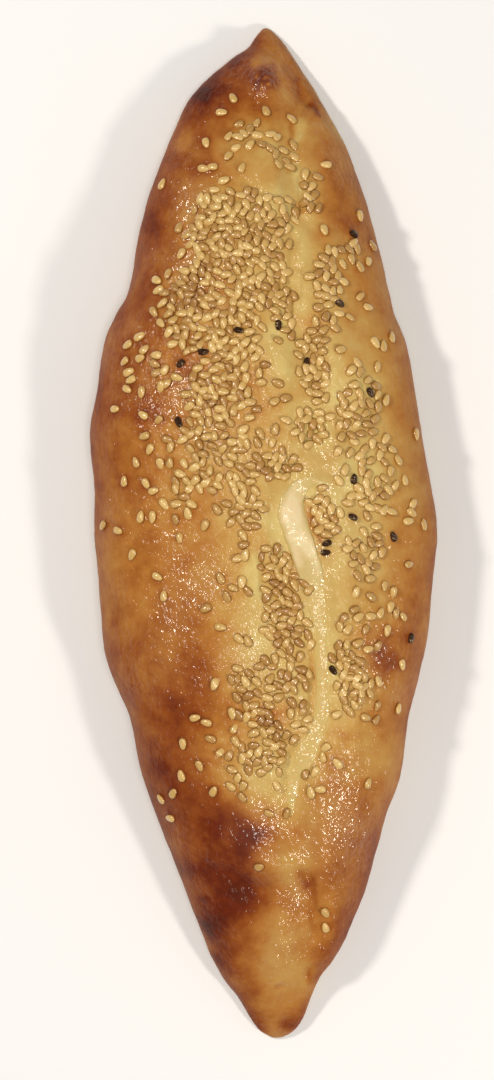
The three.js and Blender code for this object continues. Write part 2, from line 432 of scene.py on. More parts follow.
class Workbench:
    """A material under construction, with short calls for the nodes that the finishes share."""

    def __init__(self, name: str) -> None:
        """Starts an empty material with one principled shader.

        Args:
            name: The material's name.
        """
        self.material = bpy.data.materials.new(name)
        self.material.use_nodes = True
        self.tree = self.material.node_tree
        self.tree.nodes.clear()
        self.shader = self.add("BsdfPrincipled")
        self.add("OutputMaterial", Surface=self.shader.outputs["BSDF"])
        self.places = self.add("TexCoord").outputs["Object"]

    def feed(self, node: bpy.types.Node, inputs: dict[str | int, object]) -> None:
        """Gives a node its inputs.

        Args:
            node: The node.
            inputs: A number, a colour or another node's output for each input, by its name or place.
        """
        for key, value in inputs.items():
            if isinstance(value, Socket):
                self.tree.links.new(value, node.inputs[key])
            else:
                node.inputs[key].default_value = value

    def add(self, kind: str, **inputs: object) -> bpy.types.Node:
        """Adds a node.

        Args:
            kind: Its type, without the word ShaderNode.
            inputs: What its inputs are fed.

        Returns:
            The node.
        """
        node = self.tree.nodes.new("ShaderNode" + kind)
        self.feed(node, inputs)
        return node

    def shade(self, **inputs: object) -> None:
        """Feeds the shader, whose inputs are named in lower case with _ for a space."""
        for name, value in inputs.items():
            self.feed(self.shader, {name.replace("_", " ").title().replace("Ior", "IOR"): value})

    def noise(
        self, grain: float, detail: float = 2.0, roughness: float = 0.5, stretch: float = 1.0
    ) -> Socket:
        """Adds noise.

        Args:
            grain: How wide its lumps are, in millimetres.
            detail: How many finer layers it has.
            roughness: How strong the finer layers are.
            stretch: How many times longer than wide the lumps are, along the loaf.

        Returns:
            The noise, mostly from 0.3 to 0.7.
        """
        shrunk = self.add("Mapping", Vector=self.places, Scale=(1.0, 1.0 / stretch, 1.0))
        lumps = {"Scale": 1.0 / (grain * MM), "Detail": detail, "Roughness": roughness}
        return self.add("TexNoise", Vector=shrunk.outputs["Vector"], **lumps).outputs["Fac"]

    def spread(self, noise_value: Socket) -> Socket:
        """Spreads noise out over -0.5 to 0.5, and holds it there."""
        return self.add("MapRange", Value=noise_value, **NOISE_SPREAD).outputs["Result"]

    def kept(self, name: str) -> Socket:
        """Reads a number that the mesh keeps for each vertex.

        Args:
            name: The number's name.

        Returns:
            The number.
        """
        node = self.add("Attribute")
        node.attribute_name = name
        return node.outputs["Fac"]

    def sum(self, first: Socket, second: Socket, share: float) -> Socket:
        """Adds a share of the second number to the first.

        Args:
            first: The first number.
            second: The second number.
            share: How much of the second one is added.

        Returns:
            The sum.
        """
        node = self.add("Math")
        node.operation = "MULTIPLY_ADD"
        self.feed(node, {0: second, 1: share, 2: first})
        return node.outputs[0]

    def ramp(self, value: Socket, stops: Stops) -> Socket:
        """Turns a number into a colour.

        Args:
            value: The number.
            stops: The colours along the way.

        Returns:
            The colour.
        """
        node = self.add("ValToRGB", Fac=value)
        elements = node.color_ramp.elements
        while len(elements) < len(stops):
            elements.new(1.0)
        for element, (place, colour) in zip(elements, stops):
            element.position = place
            element.color = linear(*colour)
        return node.outputs["Color"]

    def bump(self, height: Socket, depth: float, below: Socket | None = None) -> Socket:
        """Roughens the surface.

        Args:
            height: The relief, from 0 to 1.
            depth: How deep it is, in millimetres.
            below: Another bump that this one lies on.

        Returns:
            The roughened normal.
        """
        node = self.add("Bump", Height=height, Strength=1.0, Distance=depth * MM)
        if below:
            self.feed(node, {"Normal": below})
        return node.outputs["Normal"]


@dataclass(frozen=True)
class CrustFinish:
    """Egg-glazed crust: the more it has baked, the browner, and browner too where shade is painted on, with
    fine mottling and a beaded gloss.
    """

    tones: Stops = (
        (0.0, (205, 184, 118)),
        (0.15, (198, 170, 104)),
        (0.35, (187, 144, 77)),
        (0.55, (169, 110, 48)),
        (0.72, (138, 70, 22)),
        (0.86, (102, 36, 8)),
        (1.0, (70, 18, 4)),
    )
    sheen: tuple[float, float, float, float] = (1.0, 0.72, 0.42, 1.0)
    mottle: float = 0.15
    speckle: float = 0.06
    sparkle: float = 0.75  # the depth, in millimetres, of the beads that break the gloss up

    def material(self) -> bpy.types.Material:
        """Makes the material.

        Returns:
            The material.
        """
        bench = Workbench("glazed_crust")
        blotches = bench.spread(bench.noise(grain=7.0, detail=4.0, roughness=0.55))
        specks = bench.spread(bench.noise(grain=1.6, detail=3.0, roughness=0.6))
        tone = bench.sum(bench.kept("bake"), blotches, self.mottle)
        tone = bench.sum(tone, specks, self.speckle)
        leather = bench.bump(bench.noise(grain=1.8), depth=0.06)
        pores = bench.bump(bench.noise(grain=0.6), depth=0.05, below=leather)
        beads = bench.bump(bench.noise(grain=1.25, detail=1.5, stretch=1.6), self.sparkle, leather)
        bench.shade(base_color=bench.ramp(tone, self.tones), roughness=0.5, normal=pores)
        bench.shade(specular_ior_level=0.12, specular_tint=self.sheen)
        bench.shade(coat_weight=bench.kept("glaze"), coat_normal=beads)
        bench.shade(coat_roughness=0.16, coat_ior=1.7)
        return bench.material


@dataclass(frozen=True)
class CheeseFinish:
    """Melted white cheese: smooth and moist, yellower where it thins out."""

    tones: Stops = (
        (0.0, (226, 207, 165)),
        (0.45, (202, 180, 122)),
        (1.0, (200, 172, 104)),
    )
    cloudiness: float = 0.25

    def material(self) -> bpy.types.Material:
        """Makes the material.

        Returns:
            The material.
        """
        bench = Workbench("melted_cheese")
        clouds = bench.spread(bench.noise(grain=3.0, detail=3.0))
        tone = bench.sum(bench.kept("thin"), clouds, self.cloudiness)
        soft = bench.bump(bench.noise(grain=2.0), depth=0.06)
        beads = bench.bump(bench.noise(grain=1.2, detail=1.5), depth=0.32, below=soft)
        bench.shade(base_color=bench.ramp(tone, self.tones), roughness=0.42, normal=soft)
        bench.shade(specular_ior_level=0.2, subsurface_weight=0.15, subsurface_scale=2.0 * MM)
        bench.shade(coat_weight=0.75, coat_roughness=0.12, coat_ior=1.5, coat_normal=beads)
        return bench.material


@dataclass(frozen=True)
class SesameFinish:
    """Toasted sesame: tan to gold from seed to seed, darker low down where the glaze has browned and where
    shade is painted on.
    """

    tones: Stops = (
        (0.0, (220, 188, 122)),
        (0.4, (200, 163, 94)),
        (0.7, (172, 128, 62)),
        (1.0, (138, 88, 32)),
    )
    speckle: float = 0.12

    def material(self) -> bpy.types.Material:
        """Makes the material.

        Returns:
            The material.
        """
        bench = Workbench("toasted_sesame")
        specks = bench.spread(bench.noise(grain=0.8))
        tone = bench.sum(bench.kept("tone"), specks, self.speckle)
        husk = bench.bump(bench.noise(grain=0.5), depth=0.04)
        bench.shade(base_color=bench.ramp(tone, self.tones), roughness=0.42, normal=husk)
        bench.shade(specular_ior_level=0.3, coat_weight=0.9, coat_roughness=0.2, coat_ior=1.6)
        return bench.material


@dataclass(frozen=True)
class NigellaFinish:
    """Nigella: near black, with a fine pitted skin that catches small warm glints."""

    tones: Stops = ((0.35, (20, 10, 5)), (0.75, (70, 42, 24)))
    glint: tuple[float, float, float, float] = (1.0, 0.74, 0.5, 1.0)

    def material(self) -> bpy.types.Material:
        """Makes the material.

        Returns:
            The material.
        """
        bench = Workbench("nigella_skin")
        tone = bench.ramp(bench.noise(grain=0.6, detail=3.0), self.tones)
        pits = bench.bump(bench.noise(grain=0.5, detail=1.0, stretch=1.5), depth=0.22)
        bench.shade(base_color=tone, roughness=0.24, normal=pits)
        bench.shade(specular_ior_level=0.5, specular_tint=self.glint)
        return bench.material


# ---------------------------------------------------------------- the loaf


@dataclass(frozen=True)
class OvenHeat:
    """How much more the flanks and the ends of the loaf bake than its middle."""

    middle: float = 0.42
    flanks: float = 0.27
    flank_power: float = 1.6
    ends: float = 0.12
    end_power: int = 3
    palest_x: float = 3.0  # where the palest line along the loaf lies, in millimetres
    fullness: float = 0.75  # how the loaf's width falls off to its tips
    least_width: float = 0.05
    widest: float = 1.2

    def bake(self, places: np.ndarray) -> np.ndarray:
        """Says how much each place bakes.

        Args:
            places: The skin's vertices, in metres.

        Returns:
            One number for each vertex, from 0 for raw to 1 for burnt.
        """
        along = np.abs(places[:, 1]) / np.abs(places[:, 1]).max()
        outline = np.clip(1.0 - along**2, self.least_width, 1.0) ** self.fullness
        half_width = np.abs(places[:, 0]).max() * outline
        across = np.clip(np.abs(places[:, 0] - self.palest_x * MM) / half_width, 0.0, self.widest)
        return self.middle + self.flanks * across**self.flank_power + self.ends * along**self.end_power


@dataclass
class Loaf:
    """The baked loaf: its skin, its relief, and how brown and how glossy each part of it is."""

    # sizes are in millimetres, heights of the relief too
    grain: float = 0.72
    smoothings: int = 5
    swell: float = 0.35  # closes the groove round the cheese, and makes up for what the smoothing takes
    tip_pull: int = 6  # the higher, the nearer to the tips the skin is drawn out
    base_line: float = 0.35  # what lies lower than this is pressed flat on the sheet
    fold_stray: float = 1.1  # how far the folds stray from their drawn lines
    fold_stray_grain: float = 7.0
    fold_facing: Range = (-0.1, 0.4)  # how far up the skin faces where the relief starts and is full
    swellings: tuple[Wander, ...] = (Wander(0.35, 16.0, 2, 3.0), Wander(0.10, 4.0, 2, 9.0))
    heat: OvenHeat = OvenHeat()
    bake_stray: float = 1.76
    bake_stray_grain: float = 5.0
    bake_wander: Wander = Wander(0.07, 9.0, 3, 21.0)
    rim_paleness: float = 0.22  # the dough stays paler where it faces down near the sheet
    rim_height: float = 11.0
    rim_facing: float = 0.5
    ring_browning_and_shade: float = 0.16  # the glaze browns round each seed, and painted shade darkens the crust there too
    ring_reach: float = 1.45
    crowd_paleness: float = 0.19  # and stays paler where seeds lie close together
    crowd_reach: float = 4.5
    crowd_size: int = 5
    gloss: float = 0.22
    least_gloss: float = 0.04
    gloss_facing: Range = (0.1, 0.7)
    gloss_wander: Wander = Wander(0.22, 12.0, 2, 40.0)
    relief: Layers = (
        # the seam from the sharp tip down: the right flap lies on top
        (-0.5, Trail(1.3, ((5, 123), (8.5, 116), (10.5, 109)))),
        (1.3, Lap(0.7, 6, ((17, 111), (12, 108.5), (9.6, 104), (8.8, 95), (9.6, 86), (11.4, 77)))),
        (-0.5, Trail(0.7, TIP_CREASE)),
        (-0.5, Trail(0.6, FLAP_CREASE)),
        (0.5, Oval(-1.5, 92.5, 6, 4.5)),
        (0.9, Trail(1.9, UPPER_SEAM)),
        (-0.6, Trail(0.6, ((7.3, 78), (7.2, 66), (7.5, 53)))),
        (0.25, Trail(0.8, ((6.0, 73), (5.8, 60)))),
        (-0.45, Trail(0.45, ((8.9, 70), (9.0, 58)))),
        (0.5, Oval(4.5, 44, 5.5, 3.6)),
        (-0.3, Trail(0.4, ((1.8, 41.3), (5, 40.6), (8.2, 40.9)))),
        (0.5, Trail(1.5, ((17.6, 45), (18, 39), (18.4, 31)))),
        (0.4, Oval(14.5, 17.5, 4, 5)),
        # round the cheese
        (-1.2, Oval(14.6, 4.0, 7.0, 3.6, -8)),
        (0.5, Trail(1.2, ((7, 12.8), (11, 13.4), (16, 13.2), (19, 10)), 0.3)),
        (0.7, Trail(1.3, ((-3.4, -3), (-2.4, -9), (-1.6, -16)))),
        (-0.8, Trail(0.8, ((-0.8, -3), (-0.4, -10), (-0.2, -18)))),
        (-0.9, Oval(4.6, -14, 10, 4.2)),
        (-0.6, Oval(6.5, -32, 10, 4.5)),
        (0.5, Trail(1.8, ((18.5, -8), (19, -20), (19, -30)))),
        (-0.5, Trail(0.6, LOWER_SEAM)),
        (-0.6, Trail(0.7, ((8.4, -54), (5.6, -60), (5.0, -68)))),
        # the blunt end
        (0.9, Oval(4.5, -84, 5, 5)),
        (-1.0, Trail(1.0, ((9.5, -84), (11.6, -89), (13, -94), (13.2, -106)))),
        (0.6, Trail(2.2, ((16.8, -90), (17, -102), (14.5, -113)))),
        (0.8, Lap(1.4, 9, ((-16, -83), (-8, -86), (-2, -88.5), (3, -90)))),
        (-0.6, Oval(12.0, -112.6, 1.6, 0.9, 20)),
        (-0.5, Oval(4.2, -116.2, 0.9, 1.2)),
        (-0.5, Oval(5.9, -125.6, 1.8, 1.6)),
        # the sharp end
        (0.6, Oval(-0.5, 120.6, 1.6, 3.0, 80)),
        (0.9, Oval(0.2, 115.8, 4.0, 3.6)),
        (0.9, Oval(-1.2, 117.4, 0.8, 0.7)),
        (0.9, Oval(0.6, 116.6, 0.7, 0.8)),
        (0.9, Oval(-0.6, 115.2, 0.8, 0.7)),
        (0.9, Oval(1.2, 114.6, 0.7, 0.7)),
        (0.9, Oval(-0.2, 113.6, 0.7, 0.8)),
        (0.4, Oval(2.4, 116.0, 0.6, 0.7)),
        (0.4, Oval(-2.6, 115.4, 0.7, 0.6)),
    )
    browning_and_painted_shade: Layers = (
        # what has stayed paler, from the sharp tip down
        (-0.14, Trail(0.9, ((2.8, 122), (5.0, 116), (6.3, 109)))),
        (-0.16, Trail(1.4, ((-4, 120.4), (-1, 121), (2.4, 120.2)))),
        (-0.3, Oval(-1.2, 117.4, 0.6, 0.6)),
        (-0.3, Oval(0.6, 116.6, 0.5, 0.6)),
        (-0.3, Oval(-0.6, 115.2, 0.6, 0.5)),
        (-0.3, Oval(1.2, 114.6, 0.5, 0.6)),
        (-0.3, Oval(-0.2, 113.6, 0.6, 0.6)),
        (-0.22, Trail(1.1, ((10.6, 107), (9.4, 103.5), (8.6, 98), (8.9, 92), (9.8, 86)), 0.12)),
        (-0.10, Oval(-21, 104, 9, 3.5, 22)),
        (-0.14, Oval(19, 104, 12, 4.5, -16)),
        (-0.05, Oval(11, 104, 8, 4)),
        (-0.07, Oval(11.5, 103, 10, 4, -10)),
        (-0.08, Oval(-3, 98, 4, 4)),
        (-0.10, Trail(13.0, ((0, 96), (2, 60), (9, 35), (12, 0), (12, -50), (4, -74)), 0.1)),
        (-0.06, Oval(-23, 96, 12, 5, 18)),
        (-0.16, Oval(1, 93, 9, 8)),
        (-0.14, Trail(6.0, ((4, 92), (9, 82), (10.5, 70), (11, 54)), 0.1)),
        (-0.05, Trail(2.2, UPPER_SEAM)),
        (-0.16, Oval(2.5, 52, 5, 3.5)),
        (-0.13, Oval(18.5, 50, 5, 4.5)),
        (-0.04, Oval(27, 50, 5, 5)),
        (-0.08, Oval(-38, 50, 6, 4)),
        (-0.20, Trail(2.4, ((17.6, 47), (18, 39), (18.4, 31)))),
        (-0.24, Oval(4.5, 44, 7, 4.2)),
        (-0.10, Oval(27, 42, 11, 7)),
        (-0.08, Oval(25, 38, 6, 4)),
        (-0.14, Trail(5.0, ((9, 36), (12, 28), (14, 18), (8, 12)))),
        (-0.18, Oval(27, 18, 45, 9)),
        (-0.08, Oval(39, 14, 9, 5)),
        (-0.13, Oval(25, 14, 6, 4.5)),
        (-0.06, Oval(39, 14, 6, 4)),
        (-0.20, Trail(4.5, ((12, 13), (7, 8), (6, 2), (8.5, -6)), 0.1)),
        (-0.10, Oval(19, 8, 15, 9)),
        (-0.20, Oval(2.6, 3, 8, 3.8)),
        (-0.08, Oval(-10, 2, 5, 4)),
        (-0.08, Oval(39, 0, 14, 4)),
        (-0.09, Oval(-36, -2, 26, 8)),
        (-0.24, Trail(2.0, ((-3.4, -3), (-2.4, -9), (-1.6, -18)))),
        (-0.06, Oval(32, -10, 6, 4)),
        (-0.16, Oval(15.5, -15, 11, 5.5)),
        (-0.15, Trail(4.0, ((16, -22), (16, -40), (13.5, -52), (8, -62), (6, -72)), 0.1)),
        (-0.20, Oval(-3, -22, 13, 5)),
        (-0.10, Oval(18, -22, 5, 4)),
        (-0.07, Oval(-10, -22, 5, 4)),
        (-0.06, Oval(18, -34, 4, 6)),
        (-0.08, Oval(2, -46, 20, 10)),
        (-0.12, Oval(26, -56, 6, 14, 70)),
        (-0.08, Oval(32, -58, 7, 4)),
        (-0.24, Oval(-1, -66, 7, 6)),
        (-0.07, Oval(0, -82, 4, 6)),
        (-0.06, Oval(21, -82, 6, 6)),
        (-0.22, Oval(5, -84, 4.5, 5)),
        (-0.13, Oval(-17.5, -103, 9, 3.5, -22)),
        (-0.14, Oval(4, -106, 12, 8)),
        (-0.16, Oval(10.5, -117, 4.5, 3)),
        # what has browned more, and the painted shade in creases and hollows, from the sharp tip down
        (0.07, Oval(0, 118, 12, 14)),
        # painted shade along the seam's groove by the sharp tip
        (0.08, Trail(0.8, ((7.4, 117), (9.0, 112.5), (10.3, 109.5)))),
        (0.30, Oval(0.2, 116.0, 3.6, 3.6)),
        (0.28, Oval(-15.8, 112.4, 2.6, 1.9, 40)),
        # painted shade in the crease at the tip of the flap
        (0.20, Trail(0.7, TIP_CREASE)),
        (0.08, Oval(-3, 109, 4, 3.5)),
        (0.07, Oval(-17, 109, 4, 3)),
        # painted shade at the foot of the flap's edge, left of its pale rim
        (0.16, Trail(0.7, ((8.9, 107.5), (7.5, 103), (6.9, 98)))),
        (0.08, Oval(20, 86, 14, 5, -15)),
        # painted shade in the flap's crease
        (0.26, Trail(0.8, FLAP_CREASE)),
        (0.17, Oval(-28, 77.5, 3.5, 3.0)),
        (0.05, Oval(20, 75, 7, 5)),
        (0.08, Oval(-10, 62, 7, 6)),
        (0.08, Oval(15, 60, 10, 5)),
        (0.06, Oval(-29, 54, 12, 5, 20)),
        (0.06, Oval(4.5, 49, 4, 3)),
        (0.07, Oval(-16, 42, 26, 12)),
        (0.08, Oval(-3.5, 38, 6, 4.5)),
        (0.08, Oval(-17.5, 38, 5, 4.5)),
        (0.05, Oval(-27, 38, 18, 6)),
        (0.07, Oval(-3, 38, 4, 4)),
        (0.03, Oval(-35, 34, 20, 6, 4)),
        # painted shadow of the cheese's head along the hollow's left and lower edge
        (0.36, Trail(1.4, ((11.8, 9.5), (12.1, 3), (13.8, -2.5), (15.5, -4.5)))),
        # painted shade in the hollow
        (0.16, Oval(15, 4, 6, 4)),
        # painted shade in the valley of seeds left of the cheese
        (0.16, Oval(5, -14, 10, 4)),
        # painted shadow line along the cheese's left edge, in the seam's groove
        (0.10, Trail(0.7, LOWER_SEAM)),
        (0.26, Oval(31, -31, 7, 4.5)),
        (0.10, Oval(-20, -32, 20, 10)),
        (0.08, Oval(-15, -32, 8, 6)),
        (0.08, Oval(10, -34, 6, 4)),
        (0.06, Oval(-14, -42, 8, 6)),
        (0.24, Oval(1.0, -45.5, 1.8, 3.6)),
        (0.12, Oval(-8, -46, 8, 6)),
        (0.16, Oval(-3, -46, 7, 4.5)),
        (0.16, Oval(4, -46, 5, 4.5)),
        (0.05, Oval(4, -46, 5, 4)),
        (0.16, Oval(-19, -46, 7, 6, -30)),
        (0.20, Oval(21.5, -51.5, 1.6, 3.8)),
        (0.07, Oval(-31, -52, 22, 6, -14)),
        (0.06, Oval(-24, -57, 10, 5, -14)),
        (0.10, Oval(-10, -69, 5, 5)),
        (0.20, Oval(-18, -70, 16, 8, -20)),
        (0.10, Oval(-4, -70, 4, 4)),
        (0.30, Oval(-2.6, -76, 6.5, 6.5)),
        (0.10, Oval(24, -78, 18, 8, -14)),
        # painted shade along the crease at the blunt end
        (0.12, Trail(1.4, ((9.5, -84), (11.6, -89), (13, -94), (13.2, -104)))),
        (0.16, Trail(1.0, ((9.4, -85.5), (10.0, -88.5), (11.2, -92)))),
        (0.12, Oval(-7, -86, 14, 9)),
        (0.14, Oval(-12, -88, 12, 6, -12)),
        (0.25, Oval(-4, -92.5, 9.5, 9.5, -20)),
        (0.07, Oval(4, -95, 5, 3)),
        (0.08, Oval(20, -98, 14, 4, -12)),
        (0.06, Oval(-13, -101, 12, 5, -22)),
        (0.14, Oval(-12, -105, 8, 4, -20)),
        (0.13, Oval(-2.5, -106, 5, 4)),
        (0.20, Oval(12.0, -112.6, 1.6, 0.9, 20)),
        (0.18, Oval(4.2, -116.2, 0.9, 1.2)),
        (0.10, Oval(-3, -118, 4, 3.5)),
        (0.18, Oval(5.7, -125.8, 2.4, 2.2)),
    )
    glossy: Layers = (  # from the sharp tip down
        (0.5, Oval(0, 116, 4.5, 4.5)),
        (0.7, Oval(-18.5, 83, 7, 4, 12)),
        (1.0, Oval(-16, 66, 5, 6)),
        (0.6, Oval(-20.5, 35, 6, 3.0)),
        (0.5, Oval(-13.5, 27, 5, 5)),
        (0.4, Oval(-7, 21, 4, 5)),
        (0.5, Oval(18, 14, 12, 6)),
        (0.4, Oval(26, -2, 7, 6)),
        (0.6, Oval(13, -10, 8, 4)),
        (0.4, Oval(-15, -13, 5, 7)),
        (0.5, Oval(-22, -19.5, 9, 5)),
        (0.5, Oval(-4, -30, 9, 5)),
        (0.5, Oval(29, -30, 6, 5)),
        (0.25, Oval(-26, -35, 9, 6)),
        (0.9, Oval(18.5, -70, 11, 6, -14)),
        (0.8, Oval(-2, -75.5, 8, 7)),
        (0.5, Oval(12.5, -81, 8, 2.5, -10)),
        (0.8, Oval(8.6, -92, 4, 2.2)),
        (0.7, Oval(3, -107, 6, 3.5)),
    )
    finish: CrustFinish = CrustFinish()
    mesh: bpy.types.Mesh = field(init=False)
    tree: BVHTree = field(init=False)

    def build(self) -> None:
        """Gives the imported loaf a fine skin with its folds, swellings and hollows."""
        packed = merged_copy("bread", "cheese_ribbon", swell=self.swell)
        self.mesh = remeshed(packed, self.grain, self.smoothings)
        places = places_of(self.mesh)
        normals = normals_of(self.mesh)
        self._draw_out_tips(places)
        spots = strayed(places[:, :2] / MM, self.fold_stray_grain, self.fold_stray)
        rise = laid(self.relief, spots) * fade(normals[:, 2], *self.fold_facing)
        rise += sum(swelling.over(places) for swelling in self.swellings)
        places += normals * (rise * MM)[:, None]
        self._settle(places)
        move_to(self.mesh, places)
        self.refresh()

    def _draw_out_tips(self, places: np.ndarray) -> None:
        """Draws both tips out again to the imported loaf's length, which the smoothing has shortened.

        Args:
            places: The skin's vertices, in metres, which are moved.
        """
        low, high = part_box("bread")
        for end in (low.y, high.y):
            reached = places[:, 1].min() if end < 0 else places[:, 1].max()
            share = np.clip(places[:, 1] / reached, 0.0, 1.0)
            places[:, 1] += (end - reached) * share**self.tip_pull

    def _settle(self, places: np.ndarray) -> None:
        """Presses what hangs below the base line flat onto the sheet."""
        low = places[:, 2] < self.base_line * MM
        places[low, 2] = 0.0

    def refresh(self) -> None:
        """Makes the ray tree anew after the skin has moved."""
        bm = bmesh.new()
        bm.from_mesh(self.mesh)
        self.tree = BVHTree.FromBMesh(bm)
        bm.free()

    def surface(self, x: float, y: float) -> tuple[Vector, Vector]:
        """Finds the crust below a place.

        Args:
            x: The place's x, in millimetres.
            y: The place's y, in millimetres.

        Returns:
            The point on the crust and its outward normal.
        """
        point, normal, _, _ = self.tree.ray_cast(Vector((x * MM, y * MM, ABOVE)), -UP)
        if point is None:
            raise ValueError(f"there is no crust below {x}, {y}")
        return point, normal

    def embed(self, seeds: list["Seed"], sunk: float, reach: float) -> None:
        """Lets the dough rise round seeds that are fixed in place, until each is sunk in it.

        Args:
            seeds: The seeds.
            sunk: How far above the skin each seed's middle stays, in millimetres.
            reach: How far the mound round a seed reaches, in millimetres.
        """
        places = places_of(self.mesh)
        normals = normals_of(self.mesh)
        rise = np.zeros(len(places))
        for seed in seeds:
            point, normal, _, _ = self.tree.find_nearest(seed.middle)
            need = (seed.middle - point).dot(normal) / MM - sunk
            gap = np.linalg.norm(places - np.array(seed.middle), axis=1) / MM
            mound = need * np.exp(-((gap / reach) ** 2))
            rise = np.where(np.abs(mound) > np.abs(rise), mound, rise)
        places += normals * (rise * MM)[:, None]
        move_to(self.mesh, places)
        self.refresh()

    def brown(self, seeds: list["Seed"]) -> None:
        """Works out how brown and how glossy each part of the skin has baked, and where shade is painted on
        it.

        Args:
            seeds: Every seed on the crust, because the glaze browns in rings round them and painted shade
                darkens those rings.
        """
        places = places_of(self.mesh)
        facing = normals_of(self.mesh)[:, 2]
        spots = strayed(places[:, :2] / MM, self.bake_stray_grain, self.bake_stray)
        rim = fade(places[:, 2] / MM, self.rim_height, 0.0) * fade(facing, self.rim_facing, 0.0)
        ring, crowd = self._near_seeds(places, seeds)
        bake = self.heat.bake(places) + laid(self.browning_and_painted_shade, spots) + self.bake_wander.over(places)
        bake += self.ring_browning_and_shade * ring - self.crowd_paleness * crowd - self.rim_paleness * rim
        # bake holds real browning and painted shade alike: the rings round seeds and the creases and hollows
        # of the table
        note(self.mesh, "bake", np.clip(bake, 0.0, 1.0))
        gloss = self.gloss + laid(self.glossy, spots) + self.gloss_wander.over(places)
        note(self.mesh, "glaze", np.clip(gloss, self.least_gloss, 1.0) * fade(facing, *self.gloss_facing))

    def _near_seeds(self, places: np.ndarray, seeds: list["Seed"]) -> tuple[np.ndarray, np.ndarray]:
        """Measures how near the seeds are.

        Args:
            places: The skin's vertices, in metres.
            seeds: Every seed on the crust.

        Returns:
            How close each vertex is to a seed, and how crowded it is by several; both from 0 to 1.
        """
        tree = KDTree(len(seeds))
        for index, seed in enumerate(seeds):
            tree.insert(seed.middle, index)
        tree.balance()
        found = [tree.find_n(Vector(place), self.crowd_size) for place in places]
        first = np.array([near[0][2] for near in found]) / MM
        last = np.array([near[-1][2] for near in found]) / MM
        return np.exp(-((first / self.ring_reach) ** 2)), np.exp(-((last / self.crowd_reach) ** 4))

    def dress(self) -> bpy.types.Object:
        """Finishes the loaf and gives its piece."""
        return finished("bread_loaf", self.mesh, self.finish.material(), Slot.CRUST, "bread")


# ---------------------------------------------------------------- the cheese


Drop = tuple[float, float, float, float]  # x, y, half width, and how far it stands over the crust


